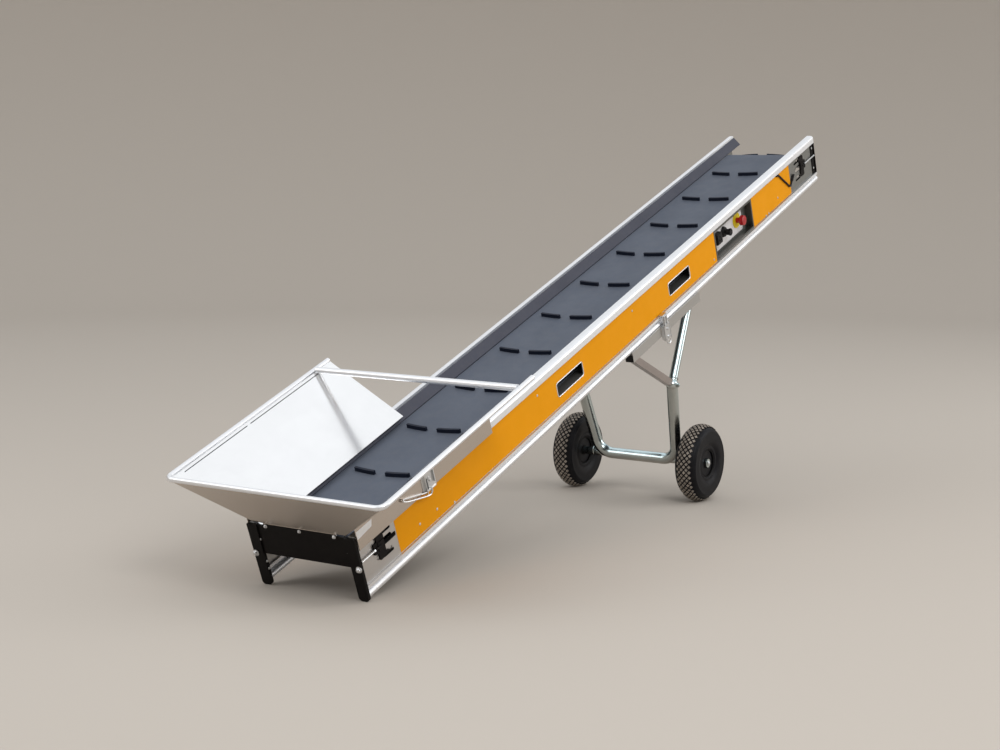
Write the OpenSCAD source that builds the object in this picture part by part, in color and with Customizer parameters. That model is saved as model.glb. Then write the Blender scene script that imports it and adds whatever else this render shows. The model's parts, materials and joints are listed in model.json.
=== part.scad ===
// Mobile belt conveyor for loose material.
// A cleated belt runs between two aluminium side profiles, from a sheet metal feed hopper
// at the low end to a motor drum at the high end. A bent tube undercarriage with two
// pneumatic wheels slides along the bottom rails and is held there by toggle clamps.
// Local axes of the conveyor: x runs up the belt, y to the left, z square to the belt.

/* [Side profiles] */
// Length of the side profiles
frame_l = 3300; // [3200:10:3450]
// Width over both side profiles
frame_w = 390; // [384:1:410]
// Height of the side profiles
frame_h = 200; // [198:1:210]
// Thickness of the web
web_t = 3; // [2:0.5:4]
// How far the web lies behind the outer faces of the rails
web_recess = 8; // [7:0.5:9]
// Width of the top and bottom rails
rail_w = 26; // [24:0.5:28]
// Height of the top rail
top_rail_h = 30; // [26:1:32]
// Radius of the outer top edge
top_edge_r = 12; // [6:0.5:13]
// Underside of the ledge over the round bottom rail
ledge_z = 32; // [30:0.5:34]
// Height of the ledge
ledge_h = 10; // [8:0.5:11]

/* [Hand holes] */
// Length of a hand hole
hand_hole_l = 172; // [140:1:190]
// Height of a hand hole
hand_hole_h = 48; // [40:1:52]
// Corner radius of a hand hole
hand_hole_r = 9; // [4:0.5:14]
// How far the hand holes lie below the middle of the web
hand_hole_drop = 7; // [6:0.5:9]
// Middle of the first hand hole
hand_hole_1_x = 1193; // [1150:1:1240]
// Middle of the second hand hole
hand_hole_2_x = 2011; // [1960:1:2060]

/* [Belt and drums] */
// Room from the outside of the frame to the belt's edge
belt_margin = 54; // [52:0.5:58]
// Thickness of the belt
belt_t = 3; // [2:0.5:4]
// Radius of both drums
drum_r = 41; // [38:0.5:42]
// How far a drum shell stands out beyond the belt on each side
drum_over = 7; // [4:0.5:9]
// Radius of the drum shafts
shaft_r = 10; // [8:0.5:12]
// Depth of the drum axes below the top of the frame
drum_drop = 82; // [81:0.5:83]
// Tail drum axis from the tail end
tail_drum_x = 97; // [92:1:104]
// Head drum axis from the head end
head_drum_inset = 135; // [120:1:150]
// Distance from one row of cleats to the next; what is left over is the gap at the belt's joint
cleat_pitch = 282.5; // [240:0.5:320]
// Second row of cleats on the carrying run
first_cleat_x = 382; // [370:1:400]
// Height of a cleat
cleat_h = 13; // [8:0.5:15]
// Thickness of a cleat
cleat_t = 9; // [6:0.5:12]
// Inner end of a cleat from the belt's middle
cleat_in = 21; // [15:1:30]
// Room from a cleat's outer end to the belt's edge
cleat_margin = 41; // [36:1:60]
// Radius of the arc that the cleats of a row follow
cleat_arc_r = 520; // [300:5:800]

/* [Inside the frame] */
// Thickness of the bed sheet under the carrying run
bed_t = 2; // [1.5:0.5:3]
// How far the bed stands out beyond the belt on each side
bed_over = 4; // [2:0.5:6]
// Depth of the bed's folded edges
bed_fold = 12; // [8:1:20]
// Radius of the cross tubes
cross_tube_r = 12.5; // [10:0.5:14]
// Distance of the outer cross tubes from the frame's ends
cross_tube_inset = 330; // [300:5:400]
// Number of cross tubes
cross_tubes = 5; // [4:1:5]
// Thickness of the side seals
seal_t = 3; // [2:0.5:4]
// How far the side seals start below the top of the frame
seal_lower = 8; // [6:0.5:12]
// Thickness of the return guides
guide_t = 3; // [2:0.5:4]

/* [Tail end] */
// Width of a foot plate
foot_w = 36; // [30:1:40]
// Thickness of a foot plate
foot_t = 10; // [6:0.5:12]
// How far a foot plate reaches below the frame
foot_drop = 6; // [4:0.5:10]
// How far a foot plate ends below the top of the frame
foot_lower = 4; // [4:0.5:10]
// Radius of a foot plate's lower corners
foot_r = 12; // [6:1:16]
// Thickness of the cross plate between the foot plates
tail_plate_t = 4; // [3:0.5:6]
// Height of the cross plate
tail_plate_h = 96; // [80:1:110]

/* [Take-ups] */
// Thickness of a bearing bracket
bracket_t = 5; // [4:0.5:6]
// Width of a bearing bracket's upright
bracket_w = 34; // [28:1:40]
// Height of a bearing bracket
bracket_h = 84; // [76:1:90]
// Width of the slots that guide a bracket
take_up_slot = 9; // [7:0.5:11]
// Distance of those slots from the drum axis
take_up_slot_z = 33; // [31:0.5:35]
// Length of those slots
take_up_slot_l = 76; // [60:1:90]
// Radius of a tension bolt
tension_bolt_r = 3; // [2.5:0.5:4]

/* [Hopper] */
// How far the rim tube's middle lies outside the frame
rim_out = 190; // [170:1:200]
// How far the rim tube's middle lies above the frame
rim_up = 161; // [140:1:180]
// Reach of the front rim tube before the tail end
rim_front = 82; // [70:1:95]
// Rear end of the side rim tubes
rim_rear_x = 704; // [680:1:730]
// Radius of the rim tube
rim_r = 8; // [6:0.5:10]
// Middle of the cross tube between the side rims
hopper_tube_x = 632; // [600:1:660]
// Radius of the cross tube between the side rims
hopper_tube_r = 10.5; // [8:0.5:12]
// Thickness of the hopper's sheet
sheet_t = 2; // [1.5:0.5:3]
// Overlap of a side panel's inner edge and the belt
lip_over = 7; // [4:0.5:10]
// Gap between a cleat and a side panel's inner edge
lip_gap = 7; // [6:0.5:9]
// Height of the front panel's fold above the frame
apron_up = 6; // [5:0.5:10]
// Reach of the apron behind the tail end, over the belt
apron_reach = 66; // [60:1:72]
// Drop of the skirt outside the frame below the top of the frame
skirt_drop = 43; // [36:1:50]

/* [Control box] */
// Distance of the control box's rear end from the head end
control_inset = 969; // [940:1:1000]
// Length of the control box
control_l = 331; // [310:1:340]
// Room between the ledge and the control box
control_floor = 8; // [7:0.5:9]
// Room between the control box and the top rail
control_roof = 12; // [8:0.5:14]
// Depth of the control box behind the web
control_d = 24; // [22:1:34]
// Wall of the control box
control_t = 2; // [1.5:0.5:3]
// Width of the box's edge strip on the web
control_edge = 6; // [4:0.5:7]
// Depth of the buttons' middle line below the box's roof
button_drop = 43; // [36:0.5:60]
// Distance of the start switch from the box's rear end
switch_x = 112; // [96:1:120]
// Distance of the stop button from the box's rear end
stop_x = 232; // [190:1:260]
// Height of the buttons over the back of the box
button_h = 36; // [26:1:40]
// Distance of the power inlet from the box's rear end
inlet_x = 24; // [8:1:40]
// Length of the power inlet
inlet_l = 42; // [36:1:46]
// Height of the power inlet
inlet_h = 42; // [36:1:52]
// Depth of the power inlet
inlet_d = 19; // [12:1:21]
// Radius of the stop button
stop_r = 20; // [16:0.5:22]
// Radius of the stop button's yellow plate
stop_plate_r = 30; // [26:0.5:32]

/* [Undercarriage] */
// Line of the legs from the tail end
leg_x = 1826; // [1700:1:1900]
// Drop of the wheel axle below the frame
axle_drop = 547; // [520:1:600]
// Drop of the knee below the frame
knee_drop = 232; // [215:1:250]
// How far the knees lie outside the frame
knee_out = 1; // [0:0.5:3]
// How far the lower corners lie inside the frame's outer faces
corner_in = 32; // [28:1:40]
// Reach of the struts towards the head
strut_reach = 222; // [200:1:240]
// Reach of the braces towards the tail
brace_reach = 210; // [190:1:230]
// Radius of the lower tube
leg_r = 21; // [18:0.5:22]
// Radius of the upper struts
strut_r = 16; // [13:0.5:17]
// Bend radius of the lower corners
leg_bend = 62; // [50:1:70]
// Width of the square brace
brace_w = 25; // [20:1:28]
// Reach of the slide channel before the leg line
channel_front = 300; // [280:1:320]
// Reach of the slide channel behind the leg line
channel_rear = 238; // [220:1:260]
// Depth of the slide channel
channel_h = 29; // [25:1:34]
// Wall of the slide channel
channel_t = 3; // [2:0.5:4]
// Height of the channel's lips beside the round rail
channel_lip = 8; // [5:0.5:13]
// Gap between the channel and the rail
slide_gap = 0.4; // [0.3:0.05:0.6]
// How far a clamp's middle lies before the leg line
clamp_ahead = 7; // [0:1:20]
// Width of a clamp
clamp_w = 56; // [46:1:60]
// Length of a clamp below the frame
clamp_drop = 54; // [46:1:70]

/* [Wheels] */
// Outer radius of a tyre, over the lugs
tyre_r = 143; // [135:1:150]
// Width of a tyre
tyre_w = 84; // [76:1:88]
// How far the wheels' middles lie outside the frame
wheel_out = 65; // [62:1:80]
// Radius of the rim that carries the tyre
hub_r = 52; // [48:0.5:58]
// Radius of the axle
axle_r = 10; // [8:0.5:12]
// Radius of the hub's sleeve
sleeve_r = 19; // [16:0.5:22]
// Length of the hub's sleeve
sleeve_l = 56; // [50:1:70]

/* [Hidden] */
$fn = 48;
small_gap = 0.3;
thin_gap = 0.06;
bend_lap = 1;
bend_trace = 0.15;
far = 4000;

// Places across the frame, from the middle outwards
half_w = frame_w / 2;
belt_w = frame_w - 2 * belt_margin;
bed_w = belt_w + 2 * bed_over;
drum_l = belt_w + 2 * drum_over;
cleat_out = belt_w / 2 - cleat_margin;
knee_y = half_w + knee_out;
corner_y = half_w - corner_in;
wheel_y = half_w + wheel_out;
web_out = half_w - web_recess;
web_in = web_out - web_t;
rail_in = half_w - rail_w;
rail_r = rail_w / 2;
rail_y = half_w - rail_r;
top_rail_z = frame_h - top_rail_h;
ledge_top = ledge_z + ledge_h;
drum_z = frame_h - drum_drop;
hand_hole_z = (ledge_top + top_rail_z) / 2 - hand_hole_drop;

// The belt's loop
head_drum_x = frame_l - head_drum_inset;
belt_r = drum_r + belt_t;
belt_run = head_drum_x - tail_drum_x;
belt_turn = PI * belt_r;
belt_loop = 2 * (belt_run + belt_turn);
belt_top = drum_z + belt_r;
cleat_rows = round(belt_loop / cleat_pitch);
cleat_root = 1.5;
bed_top = drum_z + drum_r - small_gap;
bed_ends = drum_r + 12;
cross_tube_z = bed_top - bed_t - small_gap - cross_tube_r;
notch = 2 * cross_tube_r + 2;
shaft_slot_l = 96;
bearing_block = 28;
bearing_rise = 2;
head_plate_l = 28;
head_plate_t = 3;
flange_h = 20;
latch_x = 318;
latch_base = 62;
latch_t = 3;
collar_h = 4;
switch_r = 16;
cable_r = 3.8;
axle_step = 5;
axle_end_l = 6;
hook_w = 30;
tyre_section_r = 50;
shaft_slot_h = 2 * shaft_r + 3;

// The hopper, the control box and the cross tubes
rim_y = half_w + rim_out;
rim_z = frame_h + rim_up;
lip_y = belt_w / 2 - lip_over;
lip_z = belt_top + cleat_h + lip_gap;
apron_z = frame_h + apron_up;
skirt_z = frame_h - skirt_drop;
control_x = frame_l - control_inset;
control_z = ledge_top + control_floor;
control_h = top_rail_z - control_roof - control_z;
button_z = control_h - button_drop;
cross_tube_pitch = (frame_l - 2 * cross_tube_inset) / (cross_tubes - 1);

// The incline follows from the wheels, the leg and the feet, all standing on the floor
foot_reach = leg_x + foot_t;
leg_reach = axle_drop - foot_drop;
incline = asin(tyre_r / norm([foot_reach, leg_reach])) + atan2(leg_reach, foot_reach);
frame_lift = foot_t * sin(incline) + foot_drop * cos(incline);
low_x = -rim_front * cos(incline) - rim_z * sin(incline) - rim_r;
high_x = frame_l * cos(incline);
mid_x = (low_x + high_x) / 2;

// The undercarriage
channel_y = half_w - rail_w - slide_gap - channel_t;
channel_w = rail_w + 2 * (slide_gap + channel_t);
channel_mid = channel_y + channel_w / 2;
channel_bottom = -slide_gap - channel_h;
strut_x = leg_x + strut_reach;
brace_x = leg_x - brace_reach;
sleeve_in = wheel_y - sleeve_l / 2;
sleeve_out = wheel_y + sleeve_l / 2;

// Everything is drawn in the conveyor's own axes and set on the floor here
module on_floor() {
    translate([-mid_x, 0, frame_lift])
        rotate([0, -incline, 0])
            children();
}

// Sides are drawn on the left and mirrored for the right
module left_side() {
    on_floor() children();
}

module right_side() {
    on_floor() mirror([0, 1, 0]) children();
}

// An outline in y and z, drawn out along the belt
module along_belt(l) {
    rotate([90, 0, 90]) linear_extrude(l) children();
}

// An outline in x and z, drawn out to the left
module across_belt(l) {
    translate([0, l, 0]) rotate([90, 0, 0]) linear_extrude(l) children();
}

// A rod between two places
module rod(a, b, r) {
    d = b - a;
    translate(a)
        rotate([0, acos(d[2] / norm(d)), atan2(d[1], d[0])])
            cylinder(h = norm(d), r = r);
}

// A rectangle with round corners, about its middle
module round_rect(l, h, r) {
    translate([-l / 2 + r, -h / 2]) square([l - 2 * r, h]);
    translate([-l / 2, -h / 2 + r]) square([l, h - 2 * r]);
    for (x = [-l / 2 + r, l / 2 - r], z = [-h / 2 + r, h / 2 - r])
        translate([x, z]) circle(r);
}

function unit(v) = v / norm(v);

// Normals of a folded line's parts, and the line moved sideways by d
function part_normals(line) = [
    for (i = [0 : len(line) - 2])
        let (t = unit(line[i + 1] - line[i])) [-t[1], t[0]]
];
function side_step(n, i) =
    i == 0 ? n[0]
    : i == len(n) ? n[i - 1]
    : (n[i - 1] + n[i]) / (1 + n[i - 1] * n[i]);
function moved_line(line, d) =
    let (n = part_normals(line))
    [for (i = [0 : len(line) - 1]) line[i] + d * side_step(n, i)];

// The cut edge of a folded sheet
module folded_sheet(line, t) {
    upper = moved_line(line, t / 2);
    lower = moved_line(line, -t / 2);
    polygon(concat(upper, [for (i = [len(lower) - 1 : -1 : 0]) lower[i]]));
}

// Way of a line's part in its plane, and the turns and cut-backs at its corners
function part(line, i) = line[i + 1] - line[i];
function way(v) = atan2(v[0], v[1]);
function turn_at(line, i) =
    let (d = way(part(line, i)) - way(part(line, i - 1)))
    d > 180 ? d - 360 : d < -180 ? d + 360 : d;
function cut_at(line, i, bend) =
    i == 0 || i == len(line) - 1 ? 0 : bend * tan(abs(turn_at(line, i)) / 2);

// Piece i of a bent tube, with the bend and the pieces that follow on its end.
// A bend is a trace thicker than its tube, so that the two join along a clean edge.
module tube_piece(line, r, bend, i) {
    l = norm(part(line, i)) - cut_at(line, i, bend) - cut_at(line, i + 1, bend);
    bent = i < len(line) - 2;
    before = i == 0 ? 0 : bend_lap;
    after = bent ? bend_lap : 0;
    translate([0, 0, -before]) cylinder(h = l + before + after, r = r);
    if (bent) {
        turn = turn_at(line, i + 1);
        face = turn < 0 ? 180 : 0;
        translate([0, 0, l]) rotate([0, 0, face]) translate([bend, 0, 0]) {
            rotate([90, 0, 180])
                rotate_extrude(angle = abs(turn)) translate([bend, 0]) circle(r + bend_trace);
            rotate([0, abs(turn), 0])
                translate([-bend, 0, 0]) rotate([0, 0, face]) tube_piece(line, r, bend, i + 1);
        }
    }
}

// A tube along corners in the x-z plane, bent at each inner one
module bent_tube(line, r, bend) {
    translate([line[0][0], 0, line[0][1]])
        rotate([0, way(part(line, 0)), 0]) tube_piece(line, r, bend, 0);
}

// Side profile: top rail, web, ledge and round bottom rail in one extrusion
module side_outline() {
    translate([web_in, rail_r]) square([web_t, frame_h - top_rail_h / 2 - rail_r]);
    translate([rail_in, top_rail_z]) square([rail_w - top_edge_r, top_rail_h]);
    translate([rail_in, top_rail_z]) square([rail_w, top_rail_h - top_edge_r]);
    translate([half_w - top_edge_r, frame_h - top_edge_r]) circle(top_edge_r);
    translate([web_in - web_recess, ledge_z]) square([2 * web_recess + web_t, ledge_h]);
    translate([rail_y, rail_r]) circle(rail_r);
}

module web_cut(x, z) {
    translate([x, web_in - 1, z]) across_belt(web_t + 2) children();
}

module take_up_slots(x) {
    for (side = [-1, 1])
        web_cut(x, drum_z + side * take_up_slot_z)
            round_rect(take_up_slot_l, take_up_slot, take_up_slot / 2 - thin_gap);
    web_cut(x, drum_z) round_rect(shaft_slot_l, shaft_slot_h, shaft_slot_h / 2 - thin_gap);
}

module side_frame(with_control) {
    difference() {
        along_belt(frame_l) side_outline();
        for (x = [hand_hole_1_x, hand_hole_2_x])
            web_cut(x, hand_hole_z) round_rect(hand_hole_l, hand_hole_h, hand_hole_r);
        take_up_slots(tail_drum_x + 12);
        take_up_slots(head_drum_x - 12);
        if (with_control)
            web_cut(control_x + control_l / 2, control_z + control_h / 2)
                square([control_l + 2 * small_gap, control_h + 2 * small_gap], center = true);
    }
}

module side_frame_right() {
    color("gainsboro") right_side() side_frame(true);
}

module side_frame_left() {
    color("gainsboro") left_side() side_frame(false);
}

module at_cross_tubes() {
    for (i = [0 : cross_tubes - 1])
        translate([cross_tube_inset + i * cross_tube_pitch, 0, cross_tube_z]) children();
}

// The sheet that the carrying run slides on, its folded edges notched for the cross tubes
module slider_bed() {
    half = bed_w / 2 - bed_t / 2;
    z = bed_top - bed_t / 2;
    color("silver") on_floor()
        difference() {
            translate([tail_drum_x + bed_ends, 0, 0])
                along_belt(belt_run - 2 * bed_ends)
                    folded_sheet([
                        [-half, z - bed_fold], [-half, z], [half, z], [half, z - bed_fold]
                    ], bed_t);
            at_cross_tubes()
                translate([-notch / 2, -half - bed_t, -cross_tube_r])
                    cube([notch, 2 * (half + bed_t), 2 * cross_tube_r + small_gap / 2]);
        }
}

// Spreaders between the webs, under the bed
module cross_tubes() {
    color("silver") on_floor()
        at_cross_tubes()
            translate([0, small_gap - web_in, 0])
                rotate([-90, 0, 0]) cylinder(h = 2 * (web_in - small_gap), r = cross_tube_r);
}

// Strip that leads from the top rail down to the edge of the belt
module side_seal() {
    top = frame_h - seal_lower;
    foot = belt_top + seal_t;
    in = belt_w / 2 + seal_t / 2;
    out = rail_in - small_gap;
    translate([tail_drum_x - belt_r, 0, 0])
        along_belt(frame_l - tail_drum_x + belt_r)
            polygon([
                [out, top], [out - seal_t, top], [in, foot], [in, foot - seal_t],
                [in + seal_t, foot - seal_t], [out, top - 2 * seal_t]
            ]);
}

module side_seal_right() {
    color("dimgray") right_side() side_seal();
}

module side_seal_left() {
    color("dimgray") left_side() side_seal();
}

// Angles that carry the edges of the return run, left open at the control box
module return_guides() {
    z = drum_z - belt_r - small_gap - guide_t / 2;
    room = 40;
    pieces = [
        [tail_drum_x + 2 * take_up_slot_l, control_x - room],
        [control_x + control_l + room, head_drum_x - 2 * take_up_slot_l]
    ];
    line = [[cleat_out + 14, z], [web_in - small_gap - guide_t / 2, z],
            [web_in - small_gap - guide_t / 2, z - 18]];
    color("silver")
        for (p = pieces) {
            left_side() translate([p[0], 0, 0]) along_belt(p[1] - p[0]) folded_sheet(line, guide_t);
            right_side() translate([p[0], 0, 0]) along_belt(p[1] - p[0]) folded_sheet(line, guide_t);
        }
}

// Outline of the belt's loop round drums of radius r
module loop_outline(r) {
    translate([tail_drum_x, drum_z]) circle(r);
    translate([head_drum_x, drum_z]) circle(r);
    translate([tail_drum_x, drum_z - r]) square([belt_run, 2 * r]);
}

// Sets a piece at distance s round the loop, from the top of the tail drum
module on_belt(s) {
    if (s < belt_run)
        translate([tail_drum_x + s, 0, belt_top]) children();
    else if (s < belt_run + belt_turn)
        translate([head_drum_x, 0, drum_z])
            rotate([0, (s - belt_run) / belt_r * 180 / PI, 0])
                translate([0, 0, belt_r]) children();
    else if (s < 2 * belt_run + belt_turn)
        translate([head_drum_x - (s - belt_run - belt_turn), 0, drum_z - belt_r])
            rotate([0, 180, 0]) children();
    else
        translate([tail_drum_x, 0, drum_z])
            rotate([0, 180 + (s - 2 * belt_run - belt_turn) / belt_r * 180 / PI, 0])
                translate([0, 0, belt_r]) children();
}

// One row: two arcs whose outer ends lead, so that they gather the load
module cleat_row() {
    middle = cleat_arc_r;
    translate([0, 0, -cleat_root])
        linear_extrude(cleat_h + cleat_root)
            difference() {
                intersection() {
                    translate([middle, 0]) circle(cleat_arc_r + cleat_t / 2, $fn = 96);
                    translate([-far / 40, -cleat_out]) square([far / 20, 2 * cleat_out]);
                }
                translate([middle, 0]) circle(cleat_arc_r - cleat_t / 2, $fn = 96);
                translate([-far / 40, -cleat_in]) square([far / 20, 2 * cleat_in]);
            }
}

module belt() {
    start = first_cleat_x - tail_drum_x - cleat_pitch;
    color("slategray") on_floor() {
        difference() {
            translate([0, -belt_w / 2, 0]) across_belt(belt_w) loop_outline(belt_r);
            translate([0, -belt_w / 2 - 1, 0]) across_belt(belt_w + 2) loop_outline(drum_r);
        }
        for (i = [0 : cleat_rows - 1])
            on_belt(start + i * cleat_pitch) cleat_row();
    }
}

// A drum with its shaft, which ends in the slots of the webs
module drum(x) {
    translate([x, 0, drum_z]) rotate([-90, 0, 0]) {
        translate([0, 0, -drum_l / 2]) cylinder(h = drum_l, r = drum_r - small_gap);
        translate([0, 0, -web_out + small_gap]) cylinder(h = 2 * (web_out - small_gap), r = shaft_r);
    }
}

module head_drum() {
    color("darkgray") on_floor() drum(head_drum_x);
}

module tail_drum() {
    color("darkgray") on_floor() drum(tail_drum_x);
}

// Bearing bracket on the web: upright, arm with a bearing block, and two guide ears.
// The arm and its tension bolt point to the end of the frame; aim is 1 towards +x.
module bearing_bracket(x, reach, aim) {
    ear = take_up_slot - 2;
    translate([x, web_out, drum_z]) {
        across_belt(bracket_t) {
            round_rect(bracket_w, bracket_h, 5);
            translate([aim * bracket_w / 2, 0]) round_rect(bracket_w, bracket_w, 4);
            for (side = [-1, 1])
                translate([-aim * bearing_block / 2, side * take_up_slot_z])
                    round_rect(bracket_w, ear, ear / 2 - thin_gap);
        }
        translate([-bearing_block / 2, bracket_t - bearing_rise, -bearing_block / 2])
            cube([bearing_block, 2 * bearing_rise, bearing_block]);
        translate([0, head_plate_t + small_gap + tension_bolt_r, 0])
            rotate([0, aim * 90, 0]) cylinder(h = reach, r = tension_bolt_r);
    }
}

module head_bracket() {
    bearing_bracket(head_drum_x, frame_l - head_drum_x, 1);
}

module head_bracket_right() {
    color("black") right_side() head_bracket();
}

module head_bracket_left() {
    color("black") left_side() head_bracket();
}

module tail_bracket_right() {
    color("black") right_side() bearing_bracket(tail_drum_x, tail_drum_x - small_gap, -1);
}

module tail_bracket_left() {
    color("black") left_side() bearing_bracket(tail_drum_x, tail_drum_x - small_gap, -1);
}

// Black plate on the tail end of a side profile, which the conveyor stands on
module foot_plate() {
    h = foot_drop + frame_h - foot_lower;
    translate([-foot_t, half_w - foot_w, -foot_drop])
        along_belt(foot_t) {
            translate([0, foot_r]) square([foot_w, h - foot_r]);
            translate([foot_r, 0]) square([foot_w - 2 * foot_r, 2 * foot_r]);
            translate([foot_r, foot_r]) circle(foot_r);
            translate([foot_w - foot_r, foot_r]) circle(foot_r);
        }
}

module foot_plate_right() {
    color("black") right_side() foot_plate();
}

module foot_plate_left() {
    color("black") left_side() foot_plate();
}

module tail_cross_plate() {
    half = half_w - foot_w - small_gap;
    color("black") on_floor()
        translate([-foot_t / 2, -half, frame_h - foot_lower - tail_plate_h])
            cube([tail_plate_t, 2 * half, tail_plate_h]);
}

// Black plate on the web at the head end, turned outwards along its edge and notched for
// the tension bolt
module head_plate() {
    bottom = ledge_top + small_gap;
    top = top_rail_z - small_gap;
    bolt_room = tension_bolt_r + small_gap;
    translate([frame_l - head_plate_l, web_out, bottom])
        cube([head_plate_l, head_plate_t, top - bottom]);
    for (span = [[bottom, drum_z - bolt_room], [drum_z + bolt_room, top]])
        translate([frame_l - head_plate_t, web_out, span[0]])
            cube([head_plate_t, web_recess, span[1] - span[0]]);
}

module head_plate_right() {
    color("black") right_side() head_plate();
}

module head_plate_left() {
    color("black") left_side() head_plate();
}

// The side panel's slope, from its lip over the belt to under the rim tube
panel_slope = atan2(rim_z - lip_z, rim_y - lip_y);
panel_dir = [cos(panel_slope), sin(panel_slope)];
fold_x = -foot_t / 2 - small_gap - sheet_t / 2;
front_slope = atan2(rim_z - apron_z, rim_front + fold_x);
front_dir = [-cos(front_slope), sin(front_slope)];
rim_cut = rim_r + small_gap;
rim_bend = 3 * rim_r;
panel_room = (sheet_t / 2 + small_gap) / sin(panel_slope);

// Space behind the front panel's plane and behind the cross plate
module behind_front_panel(gap) {
    translate([0, -far / 2, 0])
        across_belt(far)
            polygon([
                [small_gap, 0], [small_gap, apron_z], [fold_x + gap, apron_z],
                [-rim_front + gap, rim_z],
                [-rim_front + gap, rim_z + far / 20], [far, rim_z + far / 20], [far, 0]
            ]);
}

// The rim's tube, or the room it takes in the sheets
module rim_tube(r) {
    translate([0, 0, rim_z]) rotate([-90, 0, 0])
        bent_tube([
            [rim_rear_x, -rim_y], [-rim_front, -rim_y],
            [-rim_front, rim_y], [rim_rear_x, rim_y]
        ], r, rim_bend);
}

// Sloped side panel with its skirt outside the frame
module side_panel() {
    top = [rim_y, rim_z] - panel_dir * rim_cut;
    skirt_y = half_w + sheet_t / 2 + 1;
    skirt_top = lip_z + (skirt_y - lip_y) * tan(panel_slope) - sheet_t / 2;
    difference() {
        intersection() {
            translate([-far / 4, 0, 0])
                along_belt(far / 4 + rim_rear_x) folded_sheet([[lip_y, lip_z], top], sheet_t);
            behind_front_panel(sheet_t);
        }
        rim_tube(rim_cut);
    }
    translate([small_gap, 0, 0])
        along_belt(rim_rear_x - small_gap)
            translate([skirt_y - sheet_t / 2, skirt_z]) square([sheet_t, skirt_top - skirt_z]);
}

module hopper_right_panel() {
    color("lightgray") right_side() side_panel();
}

module hopper_left_panel() {
    color("lightgray") left_side() side_panel();
}

// Front panel: sloped sheet with a mounting flange, and the apron inside it
module hopper_front_panel() {
    top = [-rim_front, rim_z] - front_dir * rim_cut;
    fold = [fold_x, apron_z];
    apron_y = lip_y - sheet_t;
    color("lightgray") on_floor() {
        difference() {
            intersection() {
                translate([0, -rim_y, 0]) across_belt(2 * rim_y) folded_sheet([top, fold], sheet_t);
                rotate([90, 0, 90])
                    translate([0, 0, -far / 4])
                        linear_extrude(far / 2)
                            polygon([
                                [-lip_y, lip_z], [lip_y, lip_z],
                                [rim_y, rim_z], [-rim_y, rim_z]
                            ]);
            }
            rim_tube(rim_cut);
        }
        translate([0, -apron_y, 0])
            across_belt(2 * apron_y)
                folded_sheet([
                    fold + [0, -flange_h], fold, [apron_reach, belt_top + cleat_h + sheet_t + 1]
                ], sheet_t);
    }
}

// Tube round three sides of the hopper
module hopper_rim() {
    color("gainsboro") on_floor() rim_tube(rim_r);
}

// Tube between the side rims, its ends cut along the side panels
module hopper_cross_tube() {
    half = rim_y - rim_cut;
    color("gainsboro") on_floor()
        intersection() {
            translate([hopper_tube_x, -half, rim_z])
                rotate([-90, 0, 0]) cylinder(h = 2 * half, r = hopper_tube_r);
            along_belt(far)
                polygon([
                    [panel_room - lip_y, lip_z], [lip_y - panel_room, lip_z],
                    [rim_y - panel_room, rim_z], [rim_y - panel_room, rim_z + far / 20],
                    [panel_room - rim_y, rim_z + far / 20], [panel_room - rim_y, rim_z]
                ]);
        }
}

// Toggle latch: base plate on the skirt, lever over it, and the hooked strip before it
module hopper_latch() {
    y = half_w + 1 + sheet_t;
    lever_t = latch_t + 4;
    strip_l = 2 * latch_base;
    translate([latch_x, y, skirt_z + latch_t])
        cube([latch_base, latch_t, skirt_drop]);
    translate([latch_x + latch_base / 4, y + latch_t, skirt_z - 2 * lever_t])
        across_belt(lever_t) {
            square([latch_base / 2, latch_base]);
            translate([latch_base / 4, latch_base]) circle(latch_base / 4 - thin_gap);
        }
    translate([latch_x + latch_base / 4 + 1 - strip_l, y + latch_t, skirt_z - 2 * lever_t])
        cube([strip_l, latch_t, lever_t + latch_t]);
}

module hopper_latch_right() {
    color("silver") right_side() hopper_latch();
}

module hopper_latch_left() {
    color("silver") left_side() hopper_latch();
}

// Open box let into the right web, with an edge strip on its outer face
module control_box() {
    color("silver") right_side() {
        translate([control_x, web_out - control_d, control_z])
            difference() {
                cube([control_l, control_d, control_h]);
                translate([control_t, control_t, control_t])
                    cube([control_l - 2 * control_t, control_d, control_h - 2 * control_t]);
            }
        translate([control_x + control_l / 2, web_out, control_z + control_h / 2])
            across_belt(control_t / 2)
                difference() {
                    square([control_l + 2 * control_edge, control_h + 2 * control_edge], center = true);
                    square([control_l - 2 * control_t, control_h - 2 * control_t], center = true);
                }
    }
}

control_back = web_out - control_d + control_t;

module on_control(x, z) {
    right_side()
        translate([control_x + x, control_back, control_z + z])
            rotate([-90, 0, 0]) children();
}

module stop_plate() {
    color("gold") on_control(stop_x, button_z) cylinder(h = collar_h, r = stop_plate_r);
}

module stop_button() {
    head_h = 3 * button_h / 8;
    stem_h = button_h - collar_h - head_h;
    color("red") on_control(stop_x, button_z) translate([0, 0, collar_h]) {
        cylinder(h = stem_h, r = stop_r / 2 + 1);
        translate([0, 0, stem_h]) cylinder(h = head_h - 3, r1 = stop_r, r2 = stop_r - 1);
        translate([0, 0, stem_h + head_h - 3]) cylinder(h = 3, r1 = stop_r - 1, r2 = stop_r - 7);
    }
}

module start_switch() {
    color("black") on_control(switch_x, button_z) {
        cylinder(h = 2 * collar_h, r = switch_r);
        translate([0, 0, 2 * collar_h]) cylinder(h = button_h / 3, r = switch_r / 2);
        translate([0, 0, 2 * collar_h + button_h / 3])
            cylinder(h = 2 * button_h / 3 - 2 * collar_h, r = switch_r - 4);
    }
}

module power_inlet() {
    color("black") right_side()
        translate([control_x + inlet_x, control_back, control_z + button_z - inlet_h / 2])
            cube([inlet_l, inlet_d, inlet_h]);
}

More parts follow.
